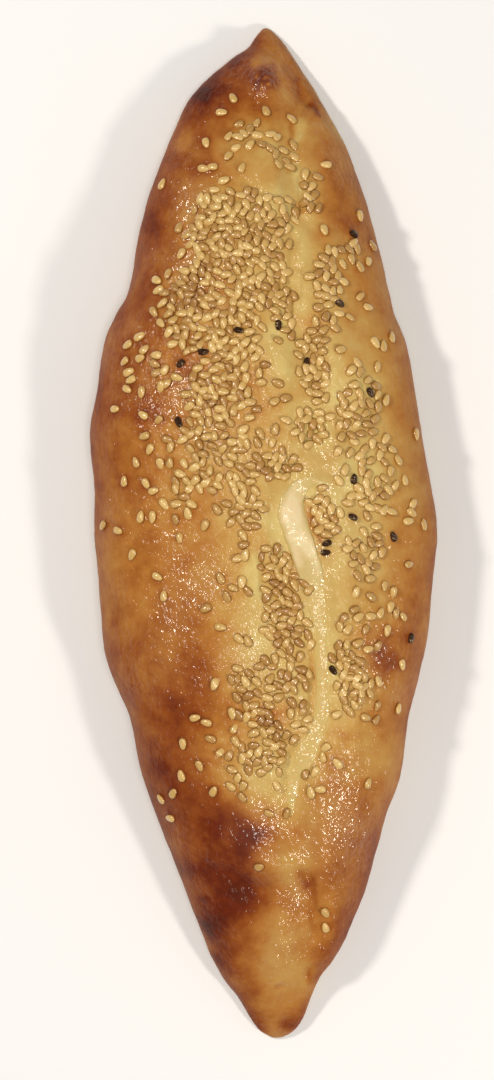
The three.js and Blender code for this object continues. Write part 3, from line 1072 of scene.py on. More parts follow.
@dataclass
class CheeseBand:
    """The melted cheese in the opened seam, with the hook that it makes round the hollow at its head."""

    course: tuple[Drop, ...] = (
        (16.6, 12.4, 0.7, 0.10),
        (12.4, 13.0, 1.1, 0.20),
        (9.2, 11.6, 2.2, 0.40),
        (7.3, 8.4, 3.2, 0.65),
        (7.2, 4.6, 3.8, 0.80),
        (8.2, 0.8, 3.6, 0.75),
        (9.8, -4.2, 3.4, 0.55),
        (11.6, -9.0, 3.2, 0.40),
        (13.4, -17.0, 2.6, 0.25),
        (14.7, -25.0, 1.9, 0.22),
        (15.0, -38.0, 1.7, 0.22),
        (14.6, -46.0, 1.9, 0.22),
        (12.9, -52.5, 2.2, 0.22),
        (10.2, -57.5, 2.3, 0.20),
        (8.0, -62.0, 1.8, 0.20),
        (7.4, -67.0, 1.4, 0.15),
        (6.8, -71.5, 0.9, 0.10),
    )
    step: float = 0.7  # how far apart the drops are
    buried: float = 0.4
    drop_sides: int = 16
    drop_rings: int = 10
    grain: float = 0.36
    smoothings: int = 7
    swelling: Wander = Wander(0.10, 4.0, 2, 5.0)
    white_to: float = 4.0  # the y below which the band turns yellow
    yellow_from: float = -26.0  # the y below which it is as yellow as it gets
    yellowing: float = 0.4
    feather: float = 0.6  # how thick the cheese must be to look white
    feathering: float = 0.8
    finish: CheeseFinish = CheeseFinish()
    mesh: bpy.types.Mesh = field(init=False)
    drops: list[Drop] = field(init=False)

    def build(self, loaf: Loaf) -> None:
        """Lays a row of overlapping drops along the course and melts them into one band.

        Args:
            loaf: The loaf that the cheese lies in.
        """
        self.drops = self._spaced()
        sides = {"u_segments": self.drop_sides, "v_segments": self.drop_rings}
        bm = bmesh.new()
        for drop in self.drops:
            bmesh.ops.create_uvsphere(bm, radius=1.0, matrix=self._seat(loaf, *drop), **sides)
        self.mesh = remeshed(mesh_from(bm, "drops"), self.grain, self.smoothings)
        places = places_of(self.mesh)
        places += normals_of(self.mesh) * (self.swelling.over(places) * MM)[:, None]
        move_to(self.mesh, places)
        self._thin_out(loaf, places)

    def _seat(self, loaf: Loaf, x: float, y: float, half_width: float, stand: float) -> Matrix:
        """Seats one flat drop in the crust.

        Args:
            loaf: The loaf.
            x: The drop's x, in millimetres.
            y: The drop's y, in millimetres.
            half_width: Its half width where it meets the crust, in millimetres.
            stand: How far its top stands over the crust, in millimetres.

        Returns:
            What turns a ball of radius 1 into the drop.
        """
        point, normal = loaf.surface(x, y)
        thick = stand + self.buried
        wide = half_width / math.sqrt(1.0 - (self.buried / thick) ** 2)
        turn = normal.to_track_quat("Z", "Y").to_matrix().to_4x4()
        size = Matrix.Diagonal((wide * MM, wide * MM, thick * MM, 1.0))
        return Matrix.Translation(point - normal * self.buried * MM) @ turn @ size

    def _spaced(self) -> list[Drop]:
        """Spaces the drops evenly along the course.

        Returns:
            The drops.
        """
        drops = []
        for start, end in zip(self.course, self.course[1:]):
            count = max(1, round(math.dist(start[:2], end[:2]) / self.step))
            for index in range(count):
                share = index / count
                drops.append(tuple(a + (b - a) * share for a, b in zip(start, end)))
        return [*drops, self.course[-1]]

    def _thin_out(self, loaf: Loaf, places: np.ndarray) -> None:
        """Yellows the band towards its lower end, and to the colour of dough where it feathers out.

        Args:
            loaf: The loaf.
            places: The band's vertices, in metres.
        """
        down = fade(places[:, 1] / MM, self.white_to, self.yellow_from)
        stand = []
        for place in places:
            point, normal, _, _ = loaf.tree.find_nearest(Vector(place))
            stand.append((Vector(place) - point).dot(normal) / MM)
        edge = fade(np.array(stand), self.feather, 0.0)
        note(self.mesh, "thin", np.clip(self.yellowing * down + self.feathering * edge, 0.0, 1.0))

    def dress(self) -> bpy.types.Object:
        """Finishes the band and gives its piece."""
        return finished("cheese_band", self.mesh, self.finish.material(), Slot.CHEESE, "cheese_ribbon")


# ---------------------------------------------------------------- the seeds


@dataclass(frozen=True)
class Seed:
    """One seed on the crust: its placement, its size as a share of its kind's, and its tone from 0 to 1."""

    lie: Matrix
    size: float
    tone: float

    @property
    def middle(self) -> Vector:
        """The seed's middle."""
        return self.lie.to_translation()


@dataclass(frozen=True)
class SeedShape:
    """The shape of one kind of seed, in millimetres."""

    length: float
    width: float
    thickness: float
    taper: float
    sides: int
    rings: int
    belly: float = 0.16  # how much fuller both ends are than an oval's
    rim: float = 0.58  # how much browner the seed's rim is than its top: partly glaze browning, partly painted shade
    crown: float = 1.25  # the higher, the more of its top stays pale, free of the painted shade of the rim

    def grow(self, bm: bmesh.types.BMesh, seed: Seed) -> None:
        """Adds one seed to a bmesh.

        Args:
            bm: The bmesh.
            seed: Where the seed lies, its size and its tone.
        """
        tone = bm.verts.layers.float.get("tone") or bm.verts.layers.float.new("tone")
        made = bmesh.ops.create_uvsphere(bm, u_segments=self.sides, v_segments=self.rings, radius=1.0)
        half = seed.size * MM / 2
        for vertex in made["verts"]:
            x, y, z = vertex.co
            girth = 1.0 - self.taper * z + self.belly * z * z
            # the tone darkens from the seed's top to its rim: painted shade, with real glaze browning at the
            # rim
            down = min(1.0, max(0.0, 1.0 - self.crown * y))
            vertex[tone] = min(1.0, seed.tone + self.rim * down**2)
            vertex.co = Vector((x * girth * self.width, y * girth * self.thickness, z * self.length)) * half
        bmesh.ops.transform(bm, matrix=seed.lie, verts=made["verts"])


SESAME = SeedShape(length=3.15, width=2.12, thickness=1.15, taper=0.24, sides=8, rings=6)
NIGELLA = SeedShape(length=2.75, width=1.85, thickness=1.45, taper=0.16, sides=6, rings=6)


def lie_of(middle: Vector, heading: Vector, normal: Vector) -> Matrix:
    """Lays a seed's long axis along a heading and its flat side across a normal.

    Args:
        middle: The seed's middle.
        heading: Where its tip points.
        normal: The crust's outward normal.

    Returns:
        The seed's placement.
    """
    along = (heading - normal * heading.dot(normal)).normalized()
    sideways = normal.cross(along)
    return Matrix.Translation(middle) @ Matrix((sideways, normal, along)).transposed().to_4x4()


def lie_of_node(node: str) -> Matrix:
    """Reads a packed seed's placement from its own mesh.

    Args:
        node: The seed's node.

    Returns:
        The placement of its middle and its axes.
    """
    mesh = merged_copy(node)
    places = places_of(mesh)
    bpy.data.meshes.remove(mesh)
    middle = (places.max(0) + places.min(0)) / 2
    away = places - places.mean(0)
    _, axes = np.linalg.eigh(away.T @ away)
    normal = Vector(axes[:, 0])
    heading = Vector(axes[:, 2])
    spread = away @ np.array(heading)
    if (spread**3).sum() < 0:
        heading = -heading
    if normal.z < 0:
        normal = -normal
    return lie_of(Vector(middle), heading, normal)


@dataclass
class PlacedSeeds:
    """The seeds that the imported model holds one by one, each made again as a finer piece in its place."""

    prefix: str
    shape: SeedShape
    slot: Slot
    smooth: bool
    draw: random.Random
    sizes: Range = (0.96, 1.06)
    tones: Range = (0.1, 0.5)
    seeds: dict[str, Seed] = field(default_factory=dict)

    def find(self) -> None:
        """Reads where each packed seed lies."""
        for node in sorted(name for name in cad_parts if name.startswith(self.prefix)):
            size = self.draw.uniform(*self.sizes)
            tone = self.draw.uniform(*self.tones)
            self.seeds[node] = Seed(lie_of_node(node), size, tone)

    def dress(self, material: bpy.types.Material) -> None:
        """Makes each seed and finishes it.

        Args:
            material: The finish of this kind of seed.
        """
        for node, seed in self.seeds.items():
            bm = bmesh.new()
            self.shape.grow(bm, seed)
            mesh = mesh_from(bm, node)
            finished(node.replace("_seed", ""), mesh, material, self.slot, node, smooth=self.smooth)


@dataclass(frozen=True)
class Sprinkle:
    """A handful of sesame whose seeds fell at random: thick in the middle of an oval and thin at its rim."""

    x: float
    y: float
    half_length: float
    half_width: float
    count: int
    full: float = 0.7  # the share of the oval that is thick with seeds
    spill: float = 1.2  # how far over its rim the last ones fall

    def pick(self, draw: random.Random) -> tuple[float, float]:
        """Draws a place in the oval.

        Args:
            draw: What draws the random numbers.

        Returns:
            The place's x and y, in millimetres.
        """
        while True:
            along = draw.uniform(-self.spill, self.spill)
            across = draw.uniform(-self.spill, self.spill)
            if math.hypot(along, across) < draw.uniform(self.full, self.spill):
                return self.x + across * self.half_width, self.y + along * self.half_length


@dataclass(frozen=True)
class Patch:
    """A part of the topping: the seeds that stand out in it, and the handfuls between them."""

    name: str
    lying: tuple[tuple[float, float, int], ...]  # each seed's x, y and turn clockwise from +Y
    handfuls: tuple[Sprinkle, ...]


PATCHES = (
    Patch(
        "topping_sharp_end",
        (
            (-15.2, 93, 100), (-13, 93.3, 80), (3, 96.6, 20), (5, 97.5, 110), (3.7, 94, 150),
            (6.6, 93.3, 100), (7.8, 96, 150), (7.6, 99, 150), (-3.5, 99, 40), (-7, 98.3, 60),
            (13.8, 90.7, 110), (12.2, 88.2, 30), (12.9, 86, 20), (10.6, 91.4, 10), (-5.5, 93, 30),
            (-1.5, 101.5, 80), (-6.5, 101, 100), (-9, 96, 40),
        ),
        (Sprinkle(-3, 101, 3.5, 6, 9), Sprinkle(4, 95.5, 3, 4, 3), Sprinkle(12, 87, 5, 2, 3)),
    ),
    Patch(
        "topping_below_sharp_end",
        (
            (-14.3, 85, 160), (-16, 85.2, 15), (-12.4, 87.4, 100), (-10, 89.8, 70), (-9.9, 85.4, 110),
            (-4.2, 86.8, 10), (-2.3, 86.6, 20), (-4.4, 83.6, 150), (-1.9, 82.2, 40), (1.1, 85.4, 60),
            (4.8, 82.4, 10), (11.9, 82.9, 10), (14.1, 82.7, 10), (15.4, 77.1, 170), (4.1, 76.5, 60),
            (6.4, 73.5, 20), (-7, 79.5, 140), (-5, 78.5, 160), (-2.5, 77.6, 30), (-8.8, 79.5, 80),
            (-14.1, 79.2, 90), (-0.7, 78.3, 20),
        ),
        (Sprinkle(-8, 82, 5, 9, 34), Sprinkle(3, 80, 5, 5, 8), Sprinkle(-11, 74.5, 4, 8, 26)),
    ),
    Patch(
        "topping_upper_left",
        (
            (-11.8, 75.3, 60), (-7, 75.8, 90), (-3.9, 74.8, 10), (-9, 72.5, 140), (-12.2, 70.7, 90),
            (-14.5, 69.8, 10), (0.7, 71.6, 150), (-9, 68, 140), (1.6, 66, 150), (-11, 63, 110),
            (-15.7, 61, 150), (-17.5, 64.7, 130), (-19.6, 62.2, 120), (-22.6, 62.4, 140),
            (-26.7, 61.8, 60), (-27, 64.3, 130), (-24.2, 65.9, 10), (-25.6, 58.3, 60), (-27.8, 56.2, 140),
            (-21, 57.5, 10), (-17.7, 58.3, 30), (-24.1, 55.6, 60), (-26, 53.3, 140), (-22.1, 51.6, 160),
            (-24, 51, 30), (-22.9, 59.5, 10), (-31.5, 50, 60), (5.7, 61.3, 10), (3, 62.4, 20),
            (-20.8, 71, 20), (-21.5, 77.8, 0),
        ),
        (
            Sprinkle(-5, 74, 7, 8, 46),
            Sprinkle(-8, 64.5, 7, 11, 72),
            Sprinkle(2, 65, 6, 3.5, 20),
            Sprinkle(-20, 57, 6, 6, 26),
            Sprinkle(5, 57.5, 6, 2.6, 14),
        ),
    ),
    Patch(
        "topping_middle_left",
        (
            (-4.3, 52.8, 70), (-1.8, 53.8, 10), (-8.2, 54.1, 170), (-10, 55.6, 60), (-12.2, 55.6, 40),
            (-13, 51.3, 60), (-15.6, 51.8, 100), (-9.7, 48.9, 40), (-34.2, 41, 60), (-30.2, 46.6, 45),
            (-31.3, 44.5, 70), (-27.3, 45.2, 90), (-27.5, 43, 100), (-25, 41.4, 30), (-27.1, 40.8, 70),
            (-23, 48.1, 60), (-26, 37.2, 20), (-24.6, 37.9, 45), (-21.9, 39.5, 90), (-19.6, 35.2, 90),
            (-1.1, 40.6, 10), (0.4, 42.7, 90), (-2.2, 44.5, 60), (-4.9, 45.2, 10), (-3, 46.8, 40),
            (-1.8, 49.4, 60), (-7, 43.9, 10), (-8.7, 41.9, 150), (-6.8, 40.7, 170), (-4.8, 42.2, 30),
            (-4.5, 39.2, 10), (-11, 42.4, 100), (-14.7, 43.6, 100), (-0.7, 38.2, 80), (3.6, 38, 115),
            (5.6, 34.2, 80), (2.9, 33.4, 50), (3.6, 48.8, 90), (3, 59, 90),
        ),
        (
            Sprinkle(-10, 52, 4.5, 9, 50),
            Sprinkle(-19, 50, 4, 4, 14),
            Sprinkle(-8, 47, 3, 6, 12),
            Sprinkle(-11, 38.5, 5, 6.5, 38),
            Sprinkle(-14, 33, 3, 5, 16),
        ),
    ),
    Patch(
        "topping_left_shoulder",
        (
            (-4, 35.7, 15), (-5.5, 32.3, 60), (-1.8, 31.3, 75), (-3.5, 29.2, 85), (-0.8, 25.1, 155),
            (2.2, 22.9, 20), (3, 26.3, 20), (5.6, 28.6, 90), (-26.6, 28.8, 40), (-24.4, 23.8, 95),
            (-23.6, 21.8, 20), (-18.7, 28.1, 160), (-15.8, 28.3, 165), (-13.9, 28.1, 15),
            (-11.5, 29.2, 100), (-18.4, 25.1, 50), (-20.6, 23.6, 75), (-16.2, 22.4, 140),
            (-13, 22.1, 110), (-10, 24.6, 60), (-7.8, 23.1, 90), (-5.5, 21, 60), (-15.4, 20, 90),
            (-30.2, 24.6, 80), (-8, 19.4, 110), (-6, 16.8, 135), (-8.9, 17.6, 110), (-11.4, 18.3, 150),
            (-15.4, 18, 30), (-17.6, 16.6, 60), (-21, 14.9, 120), (-26.2, 17.6, 0), (-23.7, 17.8, 0),
            (-29.8, 12.6, 160), (-22.3, 11.2, 0), (-18.7, 11.4, 50), (-20.1, 9.2, 95), (-25.2, 7.3, 140),
            (-22.1, 7.4, 65), (-28.1, 4, 0), (-31.1, 4.1, 10), (-22.3, 3.4, 170), (-21.3, -1.3, 170),
            (-14.9, 1.9, 30), (-13.2, 10.8, 110), (-14.6, 12.9, 40), (-16.2, 11.3, 155),
            (-18.2, 7.2, 140), (-19.2, 5, 160), (-11.8, 6, 145),
        ),
        (Sprinkle(-12, 23.5, 5, 9, 16), Sprinkle(-9, 33, 3, 5, 12), Sprinkle(-16, 15.5, 4, 8, 8)),
    ),
    Patch(
        "topping_left_of_cheese",
        (
            (-8.7, 14.4, 25), (-8.3, 2.6, 45), (-9.4, 7.4, 95), (-7.5, 5.4, 80), (-5.8, 3.4, 140),
            (-5.2, -0.6, 150), (-2, 4.4, 135), (-2, 1.7, 100), (0, 6.1, 75), (-2, 10.6, 150),
            (-5, 10.1, 20), (-2.3, 14.8, 80), (-3.3, 13, 80), (0.7, 15.8, 90), (3.5, 16.6, 10),
            (5.5, 14.3, 55), (5.9, 16.3, 120), (8.4, 16.5, 75), (2.2, 17.8, 60), (4.7, 19, 20),
            (-3.5, 17, 90), (-5, -3, 80), (-6.7, -6.5, 70), (-4.6, -5.6, 10), (-7.7, -14, 115),
            (-5.5, -12.5, 15), (-4, -14.7, 130), (-10.9, -11.5, 160), (-9.3, -16.2, 165),
            (-26.8, -11.4, 110), (-25.3, -16, 5), (-14.6, -19.2, 70), (-10.9, -23.9, 100),
            (-6.2, -26.9, 135), (-4, -27.4, 150),
        ),
        (Sprinkle(3, 17.5, 3, 5.5, 14), Sprinkle(-3.5, 8, 7, 2.6, 9), Sprinkle(-5.5, 13, 4, 3, 4)),
    ),
    Patch(
        "topping_valley",
        (
            (0.7, -4, 85), (3.3, -4.1, 20), (-0.5, -6, 10), (2.5, -6.5, 130), (4.7, -7.4, 30),
            (6.5, -8, 10), (1.7, -8.6, 80), (0.7, -11.2, 45), (5.4, -11.7, 165), (7.9, -11, 100),
            (2.7, -12.7, 105), (3.3, -15.2, 130), (6.2, -15.2, 130), (8.1, -16.6, 165), (6.2, -17.9, 115),
            (3, -18.4, 60), (5.7, -19.9, 80), (0.5, -21.4, 15), (2.7, -21.6, 160), (7.2, -22, 30),
            (2, -24.4, 140), (5.5, -25.4, 120), (9.2, -24.4, 80), (11.1, -22.8, 115), (11.6, -14.5, 40),
            (10.4, -12.8, 120), (11.3, -25.9, 160), (11.9, -28.4, 20), (3.7, -27.8, 40),
        ),
        (Sprinkle(4.5, -9, 4, 4.5, 8), Sprinkle(4.8, -17, 6, 4.8, 16), Sprinkle(6, -25, 4, 5.5, 12)),
    ),
    Patch(
        "topping_below_valley",
        (
            (-6.5, -34.4, 85), (-6.5, -36.9, 15), (-4.6, -37.7, 160), (-8, -37.4, 170),
            (-5.7, -39.6, 100), (-6.8, -41.7, 150), (-4, -41.4, 60), (-2.4, -43.8, 65),
            (-7.9, -45.8, 170), (-6.2, -46.3, 170), (-4.3, -46.8, 25), (-2.7, -48.6, 100),
            (-7.4, -49.7, 20), (-2.5, -50.9, 70), (0.5, -32.4, 140), (1.7, -37, 45), (1.7, -39.4, 90),
            (3.6, -38.6, 120), (4.4, -35.9, 20), (6.1, -36.2, 20), (6.7, -31.9, 145), (7.7, -39.8, 150),
            (5.9, -39.1, 20), (1, -41.9, 90), (3.9, -41.7, 60), (7.2, -43.1, 155), (9.9, -43.6, 40),
            (6.9, -45.9, 10), (11.1, -47.3, 65), (8.2, -48.6, 60), (9.9, -50, 80), (9.2, -31.5, 10),
            (11.4, -35.7, 160), (9.7, -37, 120), (2.2, -33.9, 60), (-7, -53, 150),
        ),
        (Sprinkle(5, -34, 4, 6, 6), Sprinkle(-2, -43, 7, 4, 10), Sprinkle(9.5, -40, 6, 2, 2)),
    ),
    Patch(
        "topping_left_below",
        (
            (1.7, -50.3, 60), (1.3, -53.2, 105), (4.4, -55.7, 125), (-1.2, -55.5, 30), (-3.5, -56, 25),
            (-5.5, -54.5, 170), (-10.9, -55.7, 40), (-8.7, -56.5, 20), (-1.7, -58.2, 60),
            (2.2, -57.7, 80), (7.7, -52.5, 35), (5.7, -51.3, 30), (-13.4, -52.3, 95), (-12.4, -38.4, 20),
            (-16.2, -59.2, 165), (-26.1, -67.9, 170), (-12.7, -65.7, 35), (-8.3, -64.4, 125),
            (-7.8, -60.2, 95), (-6.5, -62.2, 10), (-5.2, -64.4, 25), (-5.3, -67.2, 155),
            (-0.4, -60.7, 60), (-3.7, -60.4, 160), (3.9, -60.7, 160), (3.3, -64.2, 150), (5.9, -71.4, 10),
            (-1, -85, 60), (1.5, -71.3, 110),
        ),
        (Sprinkle(-1, -57, 3, 5, 8), Sprinkle(3, -52, 3, 3, 5)),
    ),
    Patch(
        "topping_right_below",
        (
            (10.6, -61.4, 10), (12.1, -65.9, 165), (14.4, -65.2, 95), (13.1, -60.7, 20),
            (15.8, -54.5, 45), (15.1, -57, 160), (18.8, -58.5, 135), (26.5, -63.7, 10), (34.2, -44.7, 20),
            (28.9, -44.1, 10), (28.6, -47.5, 55), (22, -45.5, 150), (24.6, -42.6, 30), (25.8, -46.9, 100),
            (18.6, -46.1, 70), (27.2, -38.4, 10), (29, -37.7, 160), (25.6, -36.7, 165),
            (22.5, -31.2, 160), (24.3, -32.6, 130), (26.5, -29.6, 80), (29, -28.7, 20), (21.1, -28.2, 0),
            (19.1, -28.5, 20), (23.9, -28, 75), (17.4, -31.6, 160), (21.8, -36.9, 70), (18.6, -38.9, 20),
            (23, -40.6, 60), (20.5, -42.4, 170),
        ),
        (Sprinkle(21.5, -33, 4, 3, 7), Sprinkle(22.5, -39.5, 5, 4, 12)),
    ),
    Patch(
        "topping_hollow",
        (
            (14.9, 11.4, 70), (15.3, 3, 105), (17.8, 3.6, 120), (11.9, 7.6, 120), (13.9, 8.5, 60),
            (15.8, 7.9, 20), (17.1, 5.9, 10), (19.4, 5.2, 160), (14.2, 0.8, 60), (16, -0.5, 100),
            (18.2, 0.6, 45), (12.9, 2.8, 20),
        ),
        (Sprinkle(14.8, 5, 4, 2.4, 4),),
    ),
    Patch(
        "topping_right_of_hollow",
        (
            (21.3, -4, 80), (23.5, -2.6, 40), (25.2, -3.8, 150), (30, -5, 15), (28.7, -0.8, 120),
            (28.5, 1.6, 90), (24.5, -6.5, 150), (22.8, -7.9, 60), (25.9, -9.2, 160), (28.2, -8.5, 80),
            (23.8, -10.8, 150), (27, -11.6, 90), (23.4, -15, 5), (27.2, -16.2, 100), (33, -15, 10),
            (30.6, -13.5, 0), (37.6, 5.2, 110), (37.9, 7.2, 30), (36.7, 3, 90), (32.5, 5.3, 85),
            (30.5, 5.8, 45), (34.2, 18.5, 150), (30.7, 13.8, 130), (33.4, 12.1, 30), (31.7, 10.9, 140),
            (26.5, 14.8, 20), (29, 10.6, 70), (22.3, 9.3, 70), (25.3, 7.7, 60), (27.6, 9.3, 10),
            (27, 6.4, 100), (24.2, 11.3, 130), (20.6, 16, 20), (24.3, 19.5, 60), (32.2, 15.7, 20),
            (30.7, 18, 120), (19, 13.4, 150), (23, -19.4, 80), (24, -21.4, 60), (27.2, -21.2, 90),
            (32.2, -18.9, 5), (33.6, -20.6, 165), (35.5, -21.3, 130), (20.3, -21.6, 30),
            (19.4, -23.8, 10), (21.4, -24.4, 40), (25.8, -24.6, 30), (29.6, -20.4, 30),
        ),
        (Sprinkle(26, 10, 6, 5, 9), Sprinkle(26, -4, 5, 4, 7)),
    ),
    Patch(
        "topping_right_shoulder",
        (
            (23.7, 43.4, 150), (22.2, 41.2, 45), (24.4, 40.9, 10), (28.9, 42.2, 20), (28.4, 48.4, 160),
            (30.4, 47.6, 30), (26.4, 38.8, 70), (28.6, 37.3, 110), (28.9, 35, 60), (26.9, 33, 150),
            (29, 32, 20), (31, 33.8, 10), (23, 32.3, 30), (21.2, 35.5, 60), (20.4, 32.6, 20),
            (21.4, 30, 80), (23.6, 29.5, 120), (25.9, 30.3, 60), (26.2, 27.6, 95), (28.3, 29, 60),
            (21, 27.6, 15), (24.7, 25.3, 90), (23, 23.1, 120), (25.6, 21.3, 50), (27.6, 22.6, 10),
            (32.6, 21.2, 110), (18.8, 20.6, 30), (38.8, 25.1, 20), (19.8, 24.4, 40), (19.5, 46.6, 80),
        ),
        (Sprinkle(24, 31, 7, 5, 18), Sprinkle(27, 20, 3, 5, 5)),
    ),
    Patch(
        "topping_seam_right",
        (
            (7.1, 53.1, 15), (7.1, 50.2, 20), (8.8, 45.2, 115), (10.6, 46.7, 20), (11.1, 49.4, 160),
            (13.6, 49, 70), (14.8, 46.1, 60), (15.8, 42.2, 160), (8.9, 41, 10), (11.3, 39.2, 40),
            (13.6, 37.4, 90), (13.7, 35.4, 90), (13.6, 33.4, 80), (15.8, 34.4, 20), (10.8, 28.8, 60),
            (12.6, 27.6, 10), (14, 30.5, 100), (17, 29.5, 80), (7.9, 25.5, 70), (9.6, 24.2, 20),
            (11.8, 25.2, 30), (13.7, 23.8, 130), (11.4, 22.4, 80),
        ),
        (Sprinkle(12.6, 47, 4, 3, 14), Sprinkle(13, 38.5, 5, 2.6, 16), Sprinkle(11.5, 27, 4.5, 3.4, 14)),
    ),
    Patch(
        "topping_upper_right",
        (
            (23.8, 72.3, 160), (19.8, 72.1, 110), (22.8, 74, 60), (26.7, 69.2, 20), (20.1, 68.4, 160),
            (17.7, 67.3, 40), (14.2, 68.2, 90), (15.9, 65.2, 20), (13.8, 66, 60), (11.7, 65.2, 80),
            (18.8, 65.4, 20), (19.3, 62, 10), (17.5, 61.3, 20), (27.8, 73.4, 150), (16.3, 58, 70),
            (15.8, 55.1, 40), (17.6, 54.1, 10), (19.2, 55.8, 90), (22, 54.8, 120), (24.5, 60.2, 60),
            (15.3, 51.6, 60), (12.3, 51.3, 80),
        ),
        (Sprinkle(15.5, 63.5, 6, 4, 24), Sprinkle(15.5, 55, 4, 3, 7), Sprinkle(19, 70, 3, 4, 4)),
    ),
)


@dataclass
class Topping:
    """The sesame that lies close together along the seam and on the shoulders."""

    draw: random.Random
    patches: tuple[Patch, ...] = PATCHES
    bare: tuple[Place, ...] = (
        Trail(2.4, ((9.8, 80), (10.2, 70), (11.0, 60), (11.4, 50))),
        Oval(0, 94, 5, 5),
        Oval(4.8, 44, 5, 3.8),
        Oval(14.6, 18, 5, 4.6),
        Trail(1.6, ((17.8, 46), (18, 39), (18.4, 31))),
        Oval(2.6, 4.5, 6, 2.8),
        Oval(17.5, -15, 9, 4.0),
        Trail(1.7, ((-3.2, -3), (-2.4, -9), (-1.6, -16))),
    )
    toasted: Layers = (  # how much browner the seeds are
        (0.16, Oval(-18, 62, 8, 7)),
        (0.14, Oval(6, 62, 7, 7)),
        (0.18, Oval(-16, 38, 7, 5)),
        (0.20, Oval(-2, 38, 6, 5)),
        (0.10, Oval(9, 44, 9, 7)),
        (0.15, Oval(0, 10, 10, 7)),
        (0.20, Oval(3, -11, 9, 6)),
        (0.18, Oval(7, -22, 6, 7)),
        (0.18, Oval(10, -34, 6, 5)),
        (0.24, Oval(0, -46, 7, 7)),
        (0.18, Oval(-8, -58, 5, 6)),
        (-0.20, Oval(22, 46, 10, 6)),
        (-0.25, Oval(25, 13, 8, 5)),
    )
    cheese_margin: float = 0.7
    apart: float = 1.75  # how close two seeds of a handful may come
    crowded: float = 1.2  # how close two seeds that stand out may come
    tries: int = 40  # for each seed of a handful
    covered: Range = (0.25, 0.6)  # how much of a bare place makes a seed roll away
    tilt: float = 0.16
    turn_error: float = 12.0
    lifts: Range = (0.05, 0.34)
    sizes: Range = (0.94, 1.12)
    tones: Range = (0.1, 0.7)
    seeds: dict[str, list[Seed]] = field(default_factory=dict)

    def scatter(self, loaf: Loaf, cheese: CheeseBand, taken: list[Seed]) -> None:
        """Lays the seeds that stand out, then lets the handfuls fall between them, clear of the bare places.

        Args:
            loaf: The loaf.
            cheese: The cheese, which holds no seeds.
            taken: The seeds that are there already.
        """
        lain = [(seed.middle.x / MM, seed.middle.y / MM) for seed in taken]
        for patch in self.patches:
            self.seeds[patch.name] = []
            for x, y, turn in patch.lying:
                if self._room(x, y, lain, self.crowded):
                    self.seeds[patch.name].append(self._lay(loaf, x, y, turn))
                    lain.append((x, y))
        for patch in self.patches:
            for handful in patch.handfuls:
                self.seeds[patch.name] += self._let_fall(handful, loaf, cheese, lain)

    def _let_fall(
        self, handful: Sprinkle, loaf: Loaf, cheese: CheeseBand, lain: list[tuple[float, float]]
    ) -> list[Seed]:
        """Drops one handful, seed by seed, wherever there is room.

        Args:
            handful: Where it falls and how many seeds it holds.
            loaf: The loaf.
            cheese: The cheese, which holds no seeds.
            lain: The places that are taken, to which the new ones are added.

        Returns:
            The seeds that found room.
        """
        fallen: list[Seed] = []
        for _ in range(self.tries * handful.count):
            if len(fallen) == handful.count:
                break
            x, y = handful.pick(self.draw)
            if self._room(x, y, lain, self.apart) and not self._rolls_away(x, y, cheese):
                fallen.append(self._lay(loaf, x, y, self.draw.uniform(0.0, 360.0)))
                lain.append((x, y))
        return fallen

    def _room(self, x: float, y: float, lain: list[tuple[float, float]], apart: float) -> bool:
        """Says whether nothing lies closer to a place than a distance in millimetres."""
        return all(math.dist((x, y), other) >= apart for other in lain)

    def _rolls_away(self, x: float, y: float, cheese: CheeseBand) -> bool:
        """Says whether a seed that fell here would have rolled away.

        Args:
            x: The seed's x, in millimetres.
            y: The seed's y, in millimetres.
            cheese: The cheese, which holds no seeds.

        Returns:
            Whether it would.
        """
        spot = np.array([[x, y]])
        if any(place.cover(spot)[0] > self.draw.uniform(*self.covered) for place in self.bare):
            return True
        return any(math.dist((x, y), drop[:2]) < drop[2] + self.cheese_margin for drop in cheese.drops)

    def _lay(self, loaf: Loaf, x: float, y: float, turn: float) -> Seed:
        """Lays one seed on the crust, a little tilted and a little sunk.

        Args:
            loaf: The loaf.
            x: The seed's x, in millimetres.
            y: The seed's y, in millimetres.
            turn: The turn of its long axis, clockwise from +Y, in degrees.

        Returns:
            The seed.
        """
        point, normal = loaf.surface(x, y)
        tilt = Vector((self.draw.gauss(0, self.tilt), self.draw.gauss(0, self.tilt), 0.0))
        normal = (normal + tilt).normalized()
        angle = math.radians(turn + self.draw.uniform(-self.turn_error, self.turn_error))
        heading = Vector((math.sin(angle), math.cos(angle), 0.0)) * self.draw.choice((-1.0, 1.0))
        lift = self.draw.uniform(*self.lifts) * MM
        size = self.draw.uniform(*self.sizes)
        tone = self.draw.uniform(*self.tones) + laid(self.toasted, np.array([[x, y]]))[0]
        return Seed(lie_of(point + normal * lift, heading, normal), size, min(1.0, max(0.0, tone)))

    def dress(self, material: bpy.types.Material) -> None:
        """Makes one piece of each patch.

        Args:
            material: The finish of sesame.
        """
        for name, seeds in self.seeds.items():
            bm = bmesh.new()
            for seed in seeds:
                SESAME.grow(bm, seed)
            finished(name, mesh_from(bm, name), material, Slot.SESAME)
            log.info("%s: %d seeds", name, len(seeds))


# ---------------------------------------------------------------- the studio


@dataclass(frozen=True)
class Lamp:
    """A soft square light that looks at the loaf."""

    name: str
    place: tuple[float, float, float]
    size: float
    power: float
    colour: Colour = (1.0, 0.89, 0.74)


